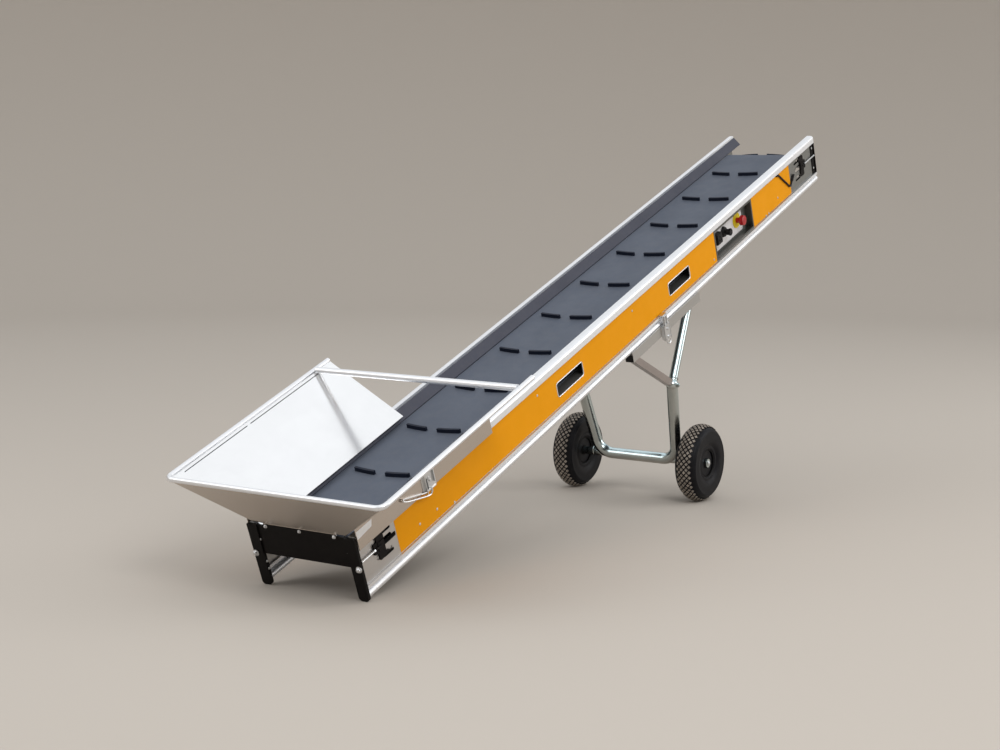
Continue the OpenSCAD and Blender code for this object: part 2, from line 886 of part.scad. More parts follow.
// Lead of the motor drum: along the web from under the top rail to its gland.
// Its places are taken from the head drum's axis.
module motor_cable() {
    rail = top_rail_z - cable_r - 2;
    dip = ledge_top + 32;
    color("black") right_side()
        translate([head_drum_x, web_out + cable_r + small_gap, 0]) {
            bent_tube([
                [-250, rail], [-232, rail - 2], [-132, dip], [-106, dip + 24]
            ], cable_r, 4 * cable_r);
            translate([-109, 1, dip + 21]) rotate([0, way([26, 24]), 0])
                cylinder(h = 26, r = cable_r + 0.8);
        }
}

// Places of the bent tube on the left; the right ones are mirrored
knee = [leg_x, knee_y, -knee_drop];
strut_top = [strut_x, channel_mid, channel_bottom];
brace_top = [brace_x, channel_mid, channel_bottom];

// Strut from the knee to the channel, cut off flush under the channel
module strut() {
    up = unit(strut_top - knee);
    difference() {
        rod(knee, strut_top + up * 3 * strut_r, strut_r);
        translate([0, 0, channel_bottom - small_gap]) cube([far, far, far]);
    }
    translate(knee) sphere(r = leg_r + 1.5);
}

// Stub axle from the bent tube through the wheel, with its end washer
module stub_axle() {
    root = corner_y - 24;
    translate([leg_x, root, -axle_drop])
        rotate([-90, 0, 0]) {
            cylinder(h = sleeve_in - small_gap - root, r = axle_r + axle_step);
            cylinder(h = sleeve_out + small_gap + axle_end_l - root, r = axle_r);
            translate([0, 0, sleeve_out + small_gap - root])
                cylinder(h = axle_end_l, r = axle_r + axle_step + 1);
        }
}

// Bent tube with struts and stub axles, welded into one
module axle_frame() {
    color("lightsteelblue") on_floor() {
        translate([leg_x, 0, 0]) rotate([0, 0, 90])
            bent_tube([
                [knee_y, -knee_drop], [corner_y, -axle_drop],
                [-corner_y, -axle_drop], [-knee_y, -knee_drop]
            ], leg_r, leg_bend);
        strut();
        stub_axle();
        mirror([0, 1, 0]) strut();
        mirror([0, 1, 0]) stub_axle();
    }
}

// Channel under a bottom rail, with lips that hold it on the round rail
module slide_channel() {
    lip_top = channel_lip;
    translate([leg_x - channel_rear, 0, 0])
        along_belt(channel_rear + channel_front)
            difference() {
                translate([channel_y, channel_bottom]) square([channel_w, lip_top - channel_bottom]);
                translate([channel_y + channel_t, channel_bottom + channel_t])
                    square([channel_w - 2 * channel_t, channel_h - 2 * channel_t]);
                translate([channel_y + channel_t, -slide_gap])
                    square([channel_w - 2 * channel_t, lip_top + 1]);
            }
}

module slide_channel_right() {
    color("lightgray") right_side() slide_channel();
}

module slide_channel_left() {
    color("lightgray") left_side() slide_channel();
}

// Square brace from the front of the channel to the knee
module brace() {
    d = knee - brace_top;
    free = norm(d) - leg_r - 3;
    difference() {
        translate(brace_top - unit(d) * 3 * brace_w)
            rotate([0, acos(d[2] / norm(d)), atan2(d[1], d[0])])
                translate([-brace_w / 2, -brace_w / 2, 0])
                    cube([brace_w, brace_w, free + 3 * brace_w]);
        translate([0, 0, channel_bottom - small_gap]) cube([far, far, far]);
    }
}

module brace_right() {
    color("lightgray") right_side() brace();
}

module brace_left() {
    color("lightgray") left_side() brace();
}

// Toggle clamp: plate on the channel, lever, and a hook that reaches over the ledge
module clamp() {
    y = channel_y + channel_w;
    x = leg_x - clamp_w / 2 + clamp_ahead;
    plate_t = channel_t + 1;
    lever_w = clamp_w - 20;
    hook_y = half_w - channel_t - 1;
    translate([x, y, -clamp_drop + lever_w / 3])
        cube([clamp_w, plate_t, clamp_drop - lever_w / 3 + channel_lip]);
    translate([x + clamp_w / 2 - lever_w / 2, y + plate_t, -clamp_drop])
        across_belt(2 * plate_t) {
            translate([0, lever_w / 2]) square([lever_w, clamp_drop - lever_w / 2 + channel_lip]);
            translate([lever_w / 2, lever_w / 2]) circle(lever_w / 2 - thin_gap);
        }
    translate([x + clamp_w / 2 - hook_w / 2, y + plate_t, 0])
        cube([hook_w, plate_t, ledge_top + slide_gap + plate_t]);
    translate([x + clamp_w / 2 - hook_w / 2, hook_y, ledge_top + slide_gap])
        cube([hook_w, y + 2 * plate_t - hook_y, plate_t]);
}

module clamp_right() {
    color("gray") right_side() clamp();
}

module clamp_left() {
    color("gray") left_side() clamp();
}

// Tyre: a round section cut flat on both sides
module tyre() {
    translate([leg_x, wheel_y, -axle_drop])
        rotate([90, 0, 0])
            rotate_extrude($fn = 96)
                intersection() {
                    translate([tyre_r - tyre_section_r, 0]) circle(tyre_section_r);
                    translate([hub_r + small_gap, -tyre_w / 2]) square([tyre_r, tyre_w]);
                }
}

module tyre_right() {
    color("black") right_side() tyre();
}

module tyre_left() {
    color("black") left_side() tyre();
}

// Hub: a rim band, a thin disc and a sleeve on the axle
module hub() {
    band_w = tyre_w - 22;
    band_t = 4;
    disc_t = 8;
    translate([leg_x, wheel_y, -axle_drop])
        rotate([90, 0, 0])
            difference() {
                union() {
                    difference() {
                        translate([0, 0, -band_w / 2]) cylinder(h = band_w, r = hub_r);
                        translate([0, 0, -band_w / 2 - 1])
                            cylinder(h = band_w + 2, r = hub_r - band_t);
                    }
                    translate([0, 0, -disc_t / 2]) cylinder(h = disc_t, r = hub_r - band_t / 2);
                    translate([0, 0, -sleeve_l / 2]) cylinder(h = sleeve_l, r = sleeve_r);
                }
                translate([0, 0, -sleeve_l]) cylinder(h = 2 * sleeve_l, r = axle_r + thin_gap);
            }
}

module hub_right() {
    color("black") right_side() hub();
}

module hub_left() {
    color("black") left_side() hub();
}

side_frame_right();
side_frame_left();
slider_bed();
cross_tubes();
side_seal_right();
side_seal_left();
return_guides();
belt();
head_drum();
tail_drum();
head_bracket_right();
head_bracket_left();
tail_bracket_right();
tail_bracket_left();
foot_plate_right();
foot_plate_left();
tail_cross_plate();
head_plate_right();
head_plate_left();
hopper_front_panel();
hopper_right_panel();
hopper_left_panel();
hopper_rim();
hopper_cross_tube();
hopper_latch_right();
hopper_latch_left();
control_box();
stop_plate();
stop_button();
start_switch();
power_inlet();
motor_cable();
axle_frame();
slide_channel_right();
slide_channel_left();
brace_right();
brace_left();
clamp_right();
clamp_left();
tyre_right();
tyre_left();
hub_right();
hub_left();
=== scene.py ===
# %% [markdown]
# # A mobile belt conveyor, dressed for its portrait
# The solids come from the part's own CAD source and stay where they are. This script gives
# them finishes, adds the small things that CAD leaves out, and sets up the studio.

# %% Load the solids
import json
from math import atan2, cos, pi, radians, sin
import bmesh
import bpy
from mathutils import Matrix, Vector


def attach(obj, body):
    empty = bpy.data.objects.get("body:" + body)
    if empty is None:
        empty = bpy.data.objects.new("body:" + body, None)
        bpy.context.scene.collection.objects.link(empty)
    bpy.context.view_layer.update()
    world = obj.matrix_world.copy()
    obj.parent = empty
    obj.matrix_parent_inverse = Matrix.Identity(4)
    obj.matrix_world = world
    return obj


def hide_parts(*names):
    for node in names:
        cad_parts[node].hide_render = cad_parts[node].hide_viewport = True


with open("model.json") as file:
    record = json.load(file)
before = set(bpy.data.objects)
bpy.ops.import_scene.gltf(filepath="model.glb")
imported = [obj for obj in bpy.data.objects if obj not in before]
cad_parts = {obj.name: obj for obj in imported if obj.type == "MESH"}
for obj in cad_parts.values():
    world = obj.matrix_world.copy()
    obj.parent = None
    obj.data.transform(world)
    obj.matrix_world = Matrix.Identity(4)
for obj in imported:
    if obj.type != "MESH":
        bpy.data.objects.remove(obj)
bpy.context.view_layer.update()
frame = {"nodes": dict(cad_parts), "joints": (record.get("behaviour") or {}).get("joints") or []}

# %% [markdown]
# ## Working along the belt
# The conveyor stands at a slant, so nothing on it is level. Measuring in the room's axes
# would be awkward. Every piece is laid out in the conveyor's own axes instead: u runs up
# the belt, v to the left, w square to the belt, all in millimetres from the tail end.
# One matrix then carries them into the room. The slant itself is read from the joint that
# lets the undercarriage slide, because that joint runs along the frame.

# %% The conveyor's own axes
slide_axis = next(j["axis"] for j in frame["joints"] if j["type"] == "slide")
INCLINE = atan2(slide_axis[2], slide_axis[0])
MIDDLE_X, LIFT = 1.43729, 0.00915
TO_ROOM = (Matrix.Translation((-MIDDLE_X, 0, LIFT))
           @ Matrix.Rotation(-INCLINE, 4, "Y") @ Matrix.Scale(0.001, 4))


def room(u, v, w):
    return TO_ROOM @ Vector((u, v, w))


WEB_OUT, TOP_RAIL_Z, LEDGE_TOP = 187, 170, 42
HEAD_DRUM_U, TAIL_DRUM_U, DRUM_Z, BELT_R = 3165, 97, 118, 44
LEG_U, AXLE_W, WHEEL_V = 1826, -547, 260
print(f"slant {INCLINE * 180 / pi:.2f} degrees; tail end at", room(0, 0, 0)[:])

# %% [markdown]
# ## The camera
# The view is the eye-level, long-lens view in which such a machine is usually shown: from
# the tail end, at about the height of the head drum. A camera could be aimed by hand until
# it looks right, but then every edge is a little off. So its place and its lens were worked
# out once, from the straight edges of the profiles and from the wheels.

# %% Place the camera
CAMERA_AT = Vector((-5.14779, -3.0364, 1.1838))
YAW, PITCH, ROLL = radians(33.108), radians(-6.639), radians(0.522)
LENS_PIXELS, FRAME_PIXELS, SENSOR = 1707.79, 1000, 36.0
ahead = Vector((cos(YAW) * cos(PITCH), sin(YAW) * cos(PITCH), sin(PITCH)))
across = Vector((sin(YAW), -cos(YAW), 0))
above = across.cross(ahead)
right_way = cos(ROLL) * across + sin(ROLL) * above
up_way = -sin(ROLL) * across + cos(ROLL) * above
camera_data = bpy.data.cameras.new("portrait_camera")
camera_data.sensor_width = SENSOR
camera_data.lens = LENS_PIXELS / FRAME_PIXELS * SENSOR
camera_data.clip_end = 60
camera = bpy.data.objects.new("portrait_camera", camera_data)
camera.matrix_world = Matrix.Translation(CAMERA_AT) @ Matrix(
    (right_way, up_way, -ahead)).transposed().to_4x4()
bpy.context.scene.collection.objects.link(camera)
bpy.context.scene.camera = camera
print(f"lens {camera_data.lens:.1f} mm")

# %% [markdown]
# ## Small tools for materials
# A finish is a Principled shader fed by textures. Adding nodes by hand takes many lines,
# so a short helper adds a node, sets its values and joins its inputs. The others are the
# few sums, ramps and textures that nearly every finish needs.

# %% Node helpers
# A Mix node has sockets for every kind of value. These are the ones it uses for colours.
MIX_SOCKETS, MIX_RESULT = (0, 6, 7), 2


def add(tree, kind, inputs=None, **settings):
    """A node; each input is a plain value or another node's output."""
    made = tree.nodes.new(kind)
    for key, value in settings.items():
        setattr(made, key, value)
    for key, value in (inputs or {}).items():
        if isinstance(value, bpy.types.NodeSocket):
            tree.links.new(value, made.inputs[key])
        else:
            made.inputs[key].default_value = value
    return made


def math(tree, operation, *values):
    return add(tree, "ShaderNodeMath", dict(enumerate(values)), operation=operation).outputs[0]


def hypotenuse(tree, a, b):
    squares = math(tree, "ADD", math(tree, "MULTIPLY", a, a), math(tree, "MULTIPLY", b, b))
    return math(tree, "SQRT", squares)


def blend_colour(tree, factor, first, second):
    inputs = dict(zip(MIX_SOCKETS, (factor, first, second)))
    return add(tree, "ShaderNodeMix", inputs, data_type="RGBA").outputs[MIX_RESULT]


def ramp(tree, value, low, high, from_value=0.0, to_value=1.0):
    return add(tree, "ShaderNodeMapRange", {
        "Value": value, "From Min": low, "From Max": high,
        "To Min": from_value, "To Max": to_value}).outputs[0]


# %% Where a texture is looked up, and the texture used most
def object_place(tree):
    return add(tree, "ShaderNodeTexCoord").outputs["Object"]


def noise(tree, vector, scale, detail, roughness):
    return add(tree, "ShaderNodeTexNoise", {
        "Vector": vector, "Scale": scale, "Detail": detail, "Roughness": roughness}).outputs[0]


def facing_up(tree):
    """1 where the surface faces the sky, -1 where it faces the ground."""
    normal = add(tree, "ShaderNodeNewGeometry").outputs["Normal"]
    return add(tree, "ShaderNodeSeparateXYZ", {0: normal}).outputs["Z"]


# %% Node groups: make one, place one
def shader_group(name, inputs, outputs):
    """An empty node group with named sockets, given as {name: (kind, default)}."""
    tree = bpy.data.node_groups.new(name, "ShaderNodeTree")
    for key, (kind, default) in inputs.items():
        socket = tree.interface.new_socket(key, in_out="INPUT", socket_type="NodeSocket" + kind)
        socket.default_value = default
    for key, kind in outputs.items():
        tree.interface.new_socket(key, in_out="OUTPUT", socket_type="NodeSocket" + kind)
    return tree, tree.nodes.new("NodeGroupInput"), tree.nodes.new("NodeGroupOutput")


def place_group(tree, group, **inputs):
    return add(tree, "ShaderNodeGroup", inputs, node_tree=group)


# %% [markdown]
# ## The effects that several finishes share
# Four things happen to many of this machine's surfaces. Drawn metal has fine lines along
# its length. Everything has blotches where it was handled. Dust settles on what faces up.
# Painted and moulded skins have a fine orange-peel. Each could be built again in every
# material, but then a change means many edits. So each is a node group, made once, and each
# finish sets its own strength. A fifth group only measures: it tells how far along the
# conveyor a point lies, and how high above its underside.

# %% Where a point lies on the conveyor
place_on_conveyor, ins, outs = shader_group(
    "place_on_conveyor", {}, {"Along": "Float", "Height": "Float"})
foot_point = Matrix.Rotation(INCLINE, 4, "Y") @ room(0, 0, 0)
turned = add(place_on_conveyor, "ShaderNodeMapping", {
    "Vector": object_place(place_on_conveyor), "Rotation": (0, INCLINE, 0),
    "Location": -foot_point}).outputs[0]
axes = add(place_on_conveyor, "ShaderNodeSeparateXYZ", {0: turned})
place_on_conveyor.links.new(axes.outputs["X"], outs.inputs["Along"])
place_on_conveyor.links.new(axes.outputs["Z"], outs.inputs["Height"])

# %% Effect: lines along the conveyor
LINE_STRETCH = (1.2, 220, 220)
drawn_lines, ins, outs = shader_group(
    "drawn_lines",
    {"Scale": ("Float", 1.0), "Contrast": ("Float", 0.1)},
    {"Shade": "Float", "Height": "Float"})
stretched = add(drawn_lines, "ShaderNodeMapping", {
    "Vector": object_place(drawn_lines), "Rotation": (0, INCLINE, 0),
    "Scale": LINE_STRETCH}).outputs[0]
lines = noise(drawn_lines, stretched, ins.outputs["Scale"], 5, 0.7)
centred = math(drawn_lines, "SUBTRACT", lines, 0.5)
shade = math(drawn_lines, "MULTIPLY_ADD", centred, ins.outputs["Contrast"], 1.0)
drawn_lines.links.new(shade, outs.inputs["Shade"])
drawn_lines.links.new(lines, outs.inputs["Height"])

# %% Effect: blotches from handling
handling, ins, outs = shader_group(
    "handling_marks",
    {"Scale": ("Float", 6.0), "Amount": ("Float", 0.1)},
    {"Shade": "Float", "Mask": "Float"})
cloud = noise(handling, object_place(handling), ins.outputs["Scale"], 6, 0.62)
mask = ramp(handling, cloud, 0.35, 0.7)
darker = math(handling, "MULTIPLY", mask, ins.outputs["Amount"])
shade = math(handling, "SUBTRACT", 1.0, darker)
handling.links.new(shade, outs.inputs["Shade"])
handling.links.new(mask, outs.inputs["Mask"])

# %% Effect: dust on what faces up
DUST_COLOUR = (0.47, 0.38, 0.28, 1)
dust, ins, outs = shader_group(
    "settled_dust",
    {"Colour": ("Color", (0.1, 0.1, 0.1, 1)), "Amount": ("Float", 0.3),
     "Grain": ("Float", 60.0)},
    {"Colour": "Color", "Mask": "Float"})
patches = noise(dust, object_place(dust), ins.outputs["Grain"], 8, 0.75)
lying = math(dust, "MULTIPLY", ramp(dust, facing_up(dust), -0.2, 1.0, 0.25, 1.0),
             ramp(dust, patches, 0.4, 0.66))
mask = math(dust, "MULTIPLY", lying, ins.outputs["Amount"])
dusted = blend_colour(dust, mask, ins.outputs["Colour"], DUST_COLOUR)
dust.links.new(dusted, outs.inputs["Colour"])
dust.links.new(mask, outs.inputs["Mask"])

# %% Effect: the fine skin of paint and plastic
fine_skin, ins, outs = shader_group(
    "fine_skin", {"Grain": ("Float", 900.0)}, {"Height": "Float"})
grain = noise(fine_skin, object_place(fine_skin), ins.outputs["Grain"], 3, 0.6)
fine_skin.links.new(grain, outs.inputs["Height"])
print("effects:", [group.name for group in bpy.data.node_groups])

# %% [markdown]
# ## Finishes
# Each finish is one material. All share a start: an empty Principled shader whose plain
# values sit on its own sockets, and whose colour is multiplied by a shade. Two recipes
# then cover most of the machine, one for drawn metal and one for coats and plastics. A
# recipe keeps the finishes alike in kind, and each call still gives its own values.

# %% Start a finish
def finish_shader(name, **sockets):
    material = bpy.data.materials.new(name)
    material.use_nodes = True
    tree = material.node_tree
    shader = tree.nodes["Principled BSDF"]
    for key, value in sockets.items():
        shader.inputs[key.replace("_", " ")].default_value = value
    return material, tree, shader


def shaded(tree, colour, *shades):
    value = shades[0]
    for other in shades[1:]:
        value = math(tree, "MULTIPLY", value, other)
    return blend_colour(tree, math(tree, "SUBTRACT", 1.0, value), colour, (0, 0, 0, 1))


def bump(tree, shader, height, strength, distance):
    made = add(tree, "ShaderNodeBump",
               {"Height": height, "Strength": strength, "Distance": distance})
    tree.links.new(made.outputs[0], shader.inputs["Normal"])


# %% Recipe: drawn metal
def drawn_metal(name, colour, roughness, metallic=1.0, contrast=0.12, marks=0.08, dusty=0.0,
                line_strength=0.08):
    """Aluminium or steel that was drawn, rolled or extruded along the conveyor.

    The colour is a plain one, or a function that makes a colour socket in the tree.
    """
    material, tree, shader = finish_shader(name, Metallic=metallic)
    colour = colour(tree) if callable(colour) else (*colour, 1)
    lines = place_group(tree, drawn_lines, Contrast=contrast)
    spots = place_group(tree, handling, Amount=marks, Scale=5.0)
    base = shaded(tree, colour, lines.outputs["Shade"], spots.outputs["Shade"])
    settled = place_group(tree, dust, Colour=base, Amount=dusty, Grain=45.0)
    tree.links.new(settled.outputs["Colour"], shader.inputs["Base Color"])
    rough = ramp(tree, spots.outputs["Mask"], 0, 1, roughness, roughness + 0.1)
    dulled = math(tree, "MULTIPLY_ADD", settled.outputs["Mask"], 0.4, rough)
    tree.links.new(dulled, shader.inputs["Roughness"])
    bump(tree, shader, lines.outputs["Height"], line_strength, 0.0004)
    return material


# %% Recipe: coats and plastics
def coated(name, colour, roughness, grain=900.0, dusty=0.1, marks=0.15, peel=0.12, coat=0.0,
           gloss=0.35):
    """Powder coat or moulded plastic: a flat colour with a fine skin and some dust."""
    material, tree, shader = finish_shader(name, Coat_Weight=coat, Specular_IOR_Level=gloss)
    spots = place_group(tree, handling, Amount=marks, Scale=9.0)
    base = shaded(tree, (*colour, 1), spots.outputs["Shade"])
    settled = place_group(tree, dust, Colour=base, Amount=dusty, Grain=70.0)
    tree.links.new(settled.outputs["Colour"], shader.inputs["Base Color"])
    rough = ramp(tree, spots.outputs["Mask"], 0, 1, roughness, roughness + 0.12)
    dulled = math(tree, "MULTIPLY_ADD", settled.outputs["Mask"], 0.5, rough)
    tree.links.new(dulled, shader.inputs["Roughness"])
    skin = place_group(tree, fine_skin, Grain=grain)
    bump(tree, shader, skin.outputs["Height"], peel, 0.0003)
    return material


# %% [markdown]
# ### Metals
# The profiles are extruded aluminium, satin and pale. Their web is painted darker than the
# rails, as painted shade that deepens towards the head. One solid holds rails and web, so
# the finish asks how high a point lies and picks the colour from that. The hopper is bright
# sheet, white inside, where it faces up, and warm outside, where it faces the ground: a
# painted reflection of the ground. Bolts, levers and latches are bright zinc. The
# undercarriage is zinc-plated tube with faint flakes, which a Voronoi texture gives better
# than a soft noise. Its cool blue-green on what faces up and warm tone on what faces down
# are a painted reflection of sky and ground.

# %% Colours that change over the surface
EDGE = 0.0005


def profile_colour_with_painted_shade(tree):
    """Pale rails above and below, and between them a web in painted shade that darkens towards the
    head.
    """
    spot = place_group(tree, place_on_conveyor)
    height = spot.outputs["Height"]
    ledge, rail = LEDGE_TOP / 1000, TOP_RAIL_Z / 1000
    in_web = math(tree, "MULTIPLY", ramp(tree, height, ledge - EDGE, ledge + EDGE),
                  ramp(tree, height, rail + EDGE, rail - EDGE))
    # Painted shade: the web's colour darkens from the tail towards the head.
    web = blend_colour(tree, ramp(tree, spot.outputs["Along"], 0.2, 3.0),
                       (0.56, 0.54, 0.52, 1), (0.26, 0.26, 0.245, 1))
    return blend_colour(tree, in_web, (0.88, 0.89, 0.91, 1), web)


def hopper_colour_with_painted_reflection(tree):
    """White where the sheet faces up; where it faces the ground, a warm painted reflection of the
    ground.
    """
    # Painted reflection: the warm colour on faces turned down stands for the ground mirrored in the
    # sheet.
    return blend_colour(tree, ramp(tree, facing_up(tree), 0.05, 0.45),
                        (0.60, 0.535, 0.475, 1), (0.95, 0.95, 0.955, 1))


# %% Metal finishes
profile_metal = drawn_metal("profile_aluminium", profile_colour_with_painted_shade, 0.40, metallic=0.92,
                            contrast=0.05, dusty=0.02, line_strength=0.02)
channel_metal = drawn_metal("channel_aluminium", (0.50, 0.49, 0.47), 0.34, metallic=0.92,
                            dusty=0.04)
hopper_sheet = drawn_metal("hopper_bright_sheet", hopper_colour_with_painted_reflection, 0.11, contrast=0.05,
                           marks=0.05, line_strength=0.03)
tray_metal = drawn_metal("tray_metal", (0.17, 0.17, 0.16), 0.32, contrast=0.1, marks=0.1)
bright_tube = drawn_metal("bright_tube", (0.85, 0.86, 0.88), 0.36, metallic=0.85,
                          contrast=0.02, marks=0.03, line_strength=0.0)
bright_zinc = drawn_metal("bright_zinc", (0.78, 0.79, 0.80), 0.26, contrast=0.1, marks=0.2)
brace_zinc = drawn_metal("brace_zinc", (0.42, 0.375, 0.355), 0.33, contrast=0.1, marks=0.2)
worn_steel = drawn_metal("worn_steel", (0.45, 0.46, 0.47), 0.38, contrast=0.2, marks=0.3,
                         dusty=0.15)

# %% Zinc-plated tube
zinc_tube, tree, shader = finish_shader("zinc_tube", Metallic=1.0)
flakes = add(tree, "ShaderNodeTexVoronoi",
             {"Vector": object_place(tree), "Scale": 85.0}).outputs["Color"]
flake = add(tree, "ShaderNodeSeparateColor", {0: flakes}).outputs[0]
spots = place_group(tree, handling, Amount=0.18, Scale=11.0)
# Painted reflection: cool blue-green where the tube faces the sky, warm where it faces the ground.
painted_sky_ground_reflection = blend_colour(tree, ramp(tree, facing_up(tree), -0.7, 0.8),
                     (0.47, 0.45, 0.41, 1), (0.64, 0.80, 0.84, 1))
base = shaded(tree, painted_sky_ground_reflection, ramp(tree, flake, 0, 1, 0.97, 1.0), spots.outputs["Shade"])
settled = place_group(tree, dust, Colour=base, Amount=0.12, Grain=40.0)
tree.links.new(settled.outputs["Colour"], shader.inputs["Base Color"])
tree.links.new(ramp(tree, flake, 0, 1, 0.19, 0.21), shader.inputs["Roughness"])
print("metals:", len(bpy.data.materials))

# %% [markdown]
# ### Skins: black coat, yellow film, plastics
# The foot plates, the brackets and the wheel hubs are black and matt. The web carries a
# smooth orange-yellow film. The stop button is glossy red plastic on a yellow collar. All
# come from the one recipe. What tells them apart is colour, roughness and how strong the
# mirror is, which is set low here because dark plastic turns grey when it is high.

# %% Coated finishes
black_coat = coated("black_powder_coat", (0.0045, 0.0035, 0.0035), 0.5, dusty=0.02, gloss=0.12)
black_plastic = coated("black_plastic", (0.008, 0.008, 0.009), 0.5, grain=1400, dusty=0.05,
                       gloss=0.2)
hub_plastic = coated("hub_plastic", (0.003, 0.003, 0.0035), 0.55, dusty=0.02, gloss=0.1)
yellow_film = coated("yellow_film", (0.86, 0.34, 0.0), 0.5, grain=300, dusty=0.02, marks=0.04,
                     peel=0.02, gloss=0.10)
yellow_plastic = coated("yellow_plastic", (0.72, 0.55, 0.01), 0.35, dusty=0.02, marks=0.04,
                        gloss=0.2)
red_plastic = coated("red_plastic", (0.42, 0.008, 0.012), 0.25, dusty=0.02, marks=0.05,
                     coat=0.3)
white_plastic = coated("white_plastic", (0.70, 0.69, 0.70), 0.35, dusty=0.03, marks=0.04)
cable_rubber = coated("cable_rubber", (0.006, 0.006, 0.008), 0.45, grain=1200, dusty=0.02,
                      gloss=0.2)
seal_strip = coated("seal_strip", (0.070, 0.074, 0.098), 0.5, grain=800, dusty=0.04, marks=0.1,
                    gloss=0.2)
# Painted shade: a flat near-black for the shadow seen inside the take-up slots.
painted_slot_shade = coated("painted_slot_shade", (0.003, 0.003, 0.003), 0.7, dusty=0.0, marks=0.0, gloss=0.05)
slit_shadow = coated("slit_shadow", (0.05, 0.05, 0.055), 0.8, dusty=0.0)

# %% [markdown]
# ### The belt
# The belt is one solid with its cleats, but the cleats are moulded from darker rubber.
# No second mesh is needed to show that. How far a point lies off the belt's own path
# tells what it is: the path is a straight run with half circles round the two drums, so
# the distance from a segment, less the drum's radius, is the height above the belt.

# %% How high a point lies above the belt
belt_rubber, tree, shader = finish_shader("belt_rubber", Specular_IOR_Level=0.12)
spot = place_group(tree, place_on_conveyor)
along = math(tree, "SUBTRACT", spot.outputs["Along"], TAIL_DRUM_U / 1000)
off = math(tree, "SUBTRACT", spot.outputs["Height"], DRUM_Z / 1000)
run = (HEAD_DRUM_U - TAIL_DRUM_U) / 1000
nearest = add(tree, "ShaderNodeClamp", {"Value": along, "Min": 0.0, "Max": run}).outputs[0]
beyond = math(tree, "SUBTRACT", along, nearest)
height = math(tree, "SUBTRACT", hypotenuse(tree, beyond, off), BELT_R / 1000)
print(f"straight run of the belt {run:.3f} m")

# %% Belt rubber with dark cleats
CLEAT_FOOT, CLEAT_TOP = (0.0004, 0.0009), (0.0115, 0.0135)
BELT_GREY, CLEAT_BLACK, WORN_GREY = (
    (0.098, 0.113, 0.145, 1), (0.006, 0.009, 0.020, 1), (0.035, 0.042, 0.06, 1))
is_cleat = ramp(tree, height, *CLEAT_FOOT)
worn_top = math(tree, "MULTIPLY", ramp(tree, height, *CLEAT_TOP), 0.35)
spots = place_group(tree, handling, Amount=0.07, Scale=7.0)
streaks = place_group(tree, drawn_lines, Contrast=0.10, Scale=0.18)
plain = shaded(tree, BELT_GREY, spots.outputs["Shade"], streaks.outputs["Shade"])
cleat = blend_colour(tree, worn_top, CLEAT_BLACK, WORN_GREY)
base = blend_colour(tree, is_cleat, plain, cleat)
settled = place_group(tree, dust, Colour=base, Amount=0.03, Grain=30.0)
tree.links.new(settled.outputs["Colour"], shader.inputs["Base Color"])
tree.links.new(ramp(tree, spots.outputs["Mask"], 0, 1, 0.55, 0.68), shader.inputs["Roughness"])
cloth = add(tree, "ShaderNodeTexVoronoi",
            {"Vector": object_place(tree), "Scale": 420.0}).outputs["Distance"]
bump(tree, shader, cloth, 0.10, 0.0003)

# %% [markdown]
# ### The tyres
# The tread's lugs are geometry. The material only adds the dust that rubs off on their
# tops and leaves the grooves black. A painted mask would have to be fitted to every lug.
# Instead the tyre's section is taken as a circle, and the distance from that circle's
# middle tells a lug's top from the bottom of a groove.

# %% Where a point lies in the tyre's section
TYRE_R, SECTION_R, LUG_H = 143, 50, 4.5
axle = room(LEG_U, 0, AXLE_W)
tyre_rubber, tree, shader = finish_shader("tyre_rubber", Specular_IOR_Level=0.18)
place = object_place(tree)
moved = add(tree, "ShaderNodeVectorMath", {0: place, 1: (axle.x, 0, axle.z)},
            operation="SUBTRACT").outputs[0]
flat = add(tree, "ShaderNodeVectorMath", {0: moved, 1: (1, 0, 1)},
           operation="MULTIPLY").outputs[0]
radius = add(tree, "ShaderNodeVectorMath", {0: flat}, operation="LENGTH").outputs["Value"]
sideways = add(tree, "ShaderNodeSeparateXYZ", {0: place}).outputs["Y"]
beside = math(tree, "ABSOLUTE", math(
    tree, "SUBTRACT", math(tree, "ABSOLUTE", sideways), WHEEL_V / 1000))
below = math(tree, "SUBTRACT", radius, (TYRE_R - SECTION_R) / 1000)
from_middle = hypotenuse(tree, below, beside)

# %% Tyre rubber
LUG_TOP, TREAD_SIDE, TREAD_FOOT = (0.0478, 0.0490), (0.034, 0.028), (0.108, 0.118)
TYRE_BLACK, ROAD_DUST = (0.004, 0.004, 0.006, 1), (0.40, 0.35, 0.30, 1)
grain = noise(tree, place, 55.0, 8, 0.7)
on_top = ramp(tree, from_middle, *LUG_TOP)
on_tread = math(tree, "MULTIPLY", ramp(tree, beside, *TREAD_SIDE),
                ramp(tree, radius, *TREAD_FOOT))
powder = math(tree, "MULTIPLY", math(tree, "MULTIPLY", on_top, on_tread),
              ramp(tree, grain, 0.35, 0.6, 0.35, 0.9))
haze = math(tree, "MULTIPLY", ramp(tree, grain, 0.52, 0.72), 0.03)
amount = math(tree, "MAXIMUM", powder, haze)
tree.links.new(blend_colour(tree, amount, TYRE_BLACK, ROAD_DUST), shader.inputs["Base Color"])
tree.links.new(ramp(tree, amount, 0, 1, 0.5, 0.85), shader.inputs["Roughness"])
bump(tree, shader, grain, 0.06, 0.001)
print("finishes:", len(bpy.data.materials))

# %% [markdown]
# ## Finishes on the solids
# Every solid keeps its own mesh and only gets a finish. Forty-three lines could say which,
# but most pieces come in pairs or sets that share a name's start. So a short table goes by
# that start, and where two entries fit, the longer one wins.

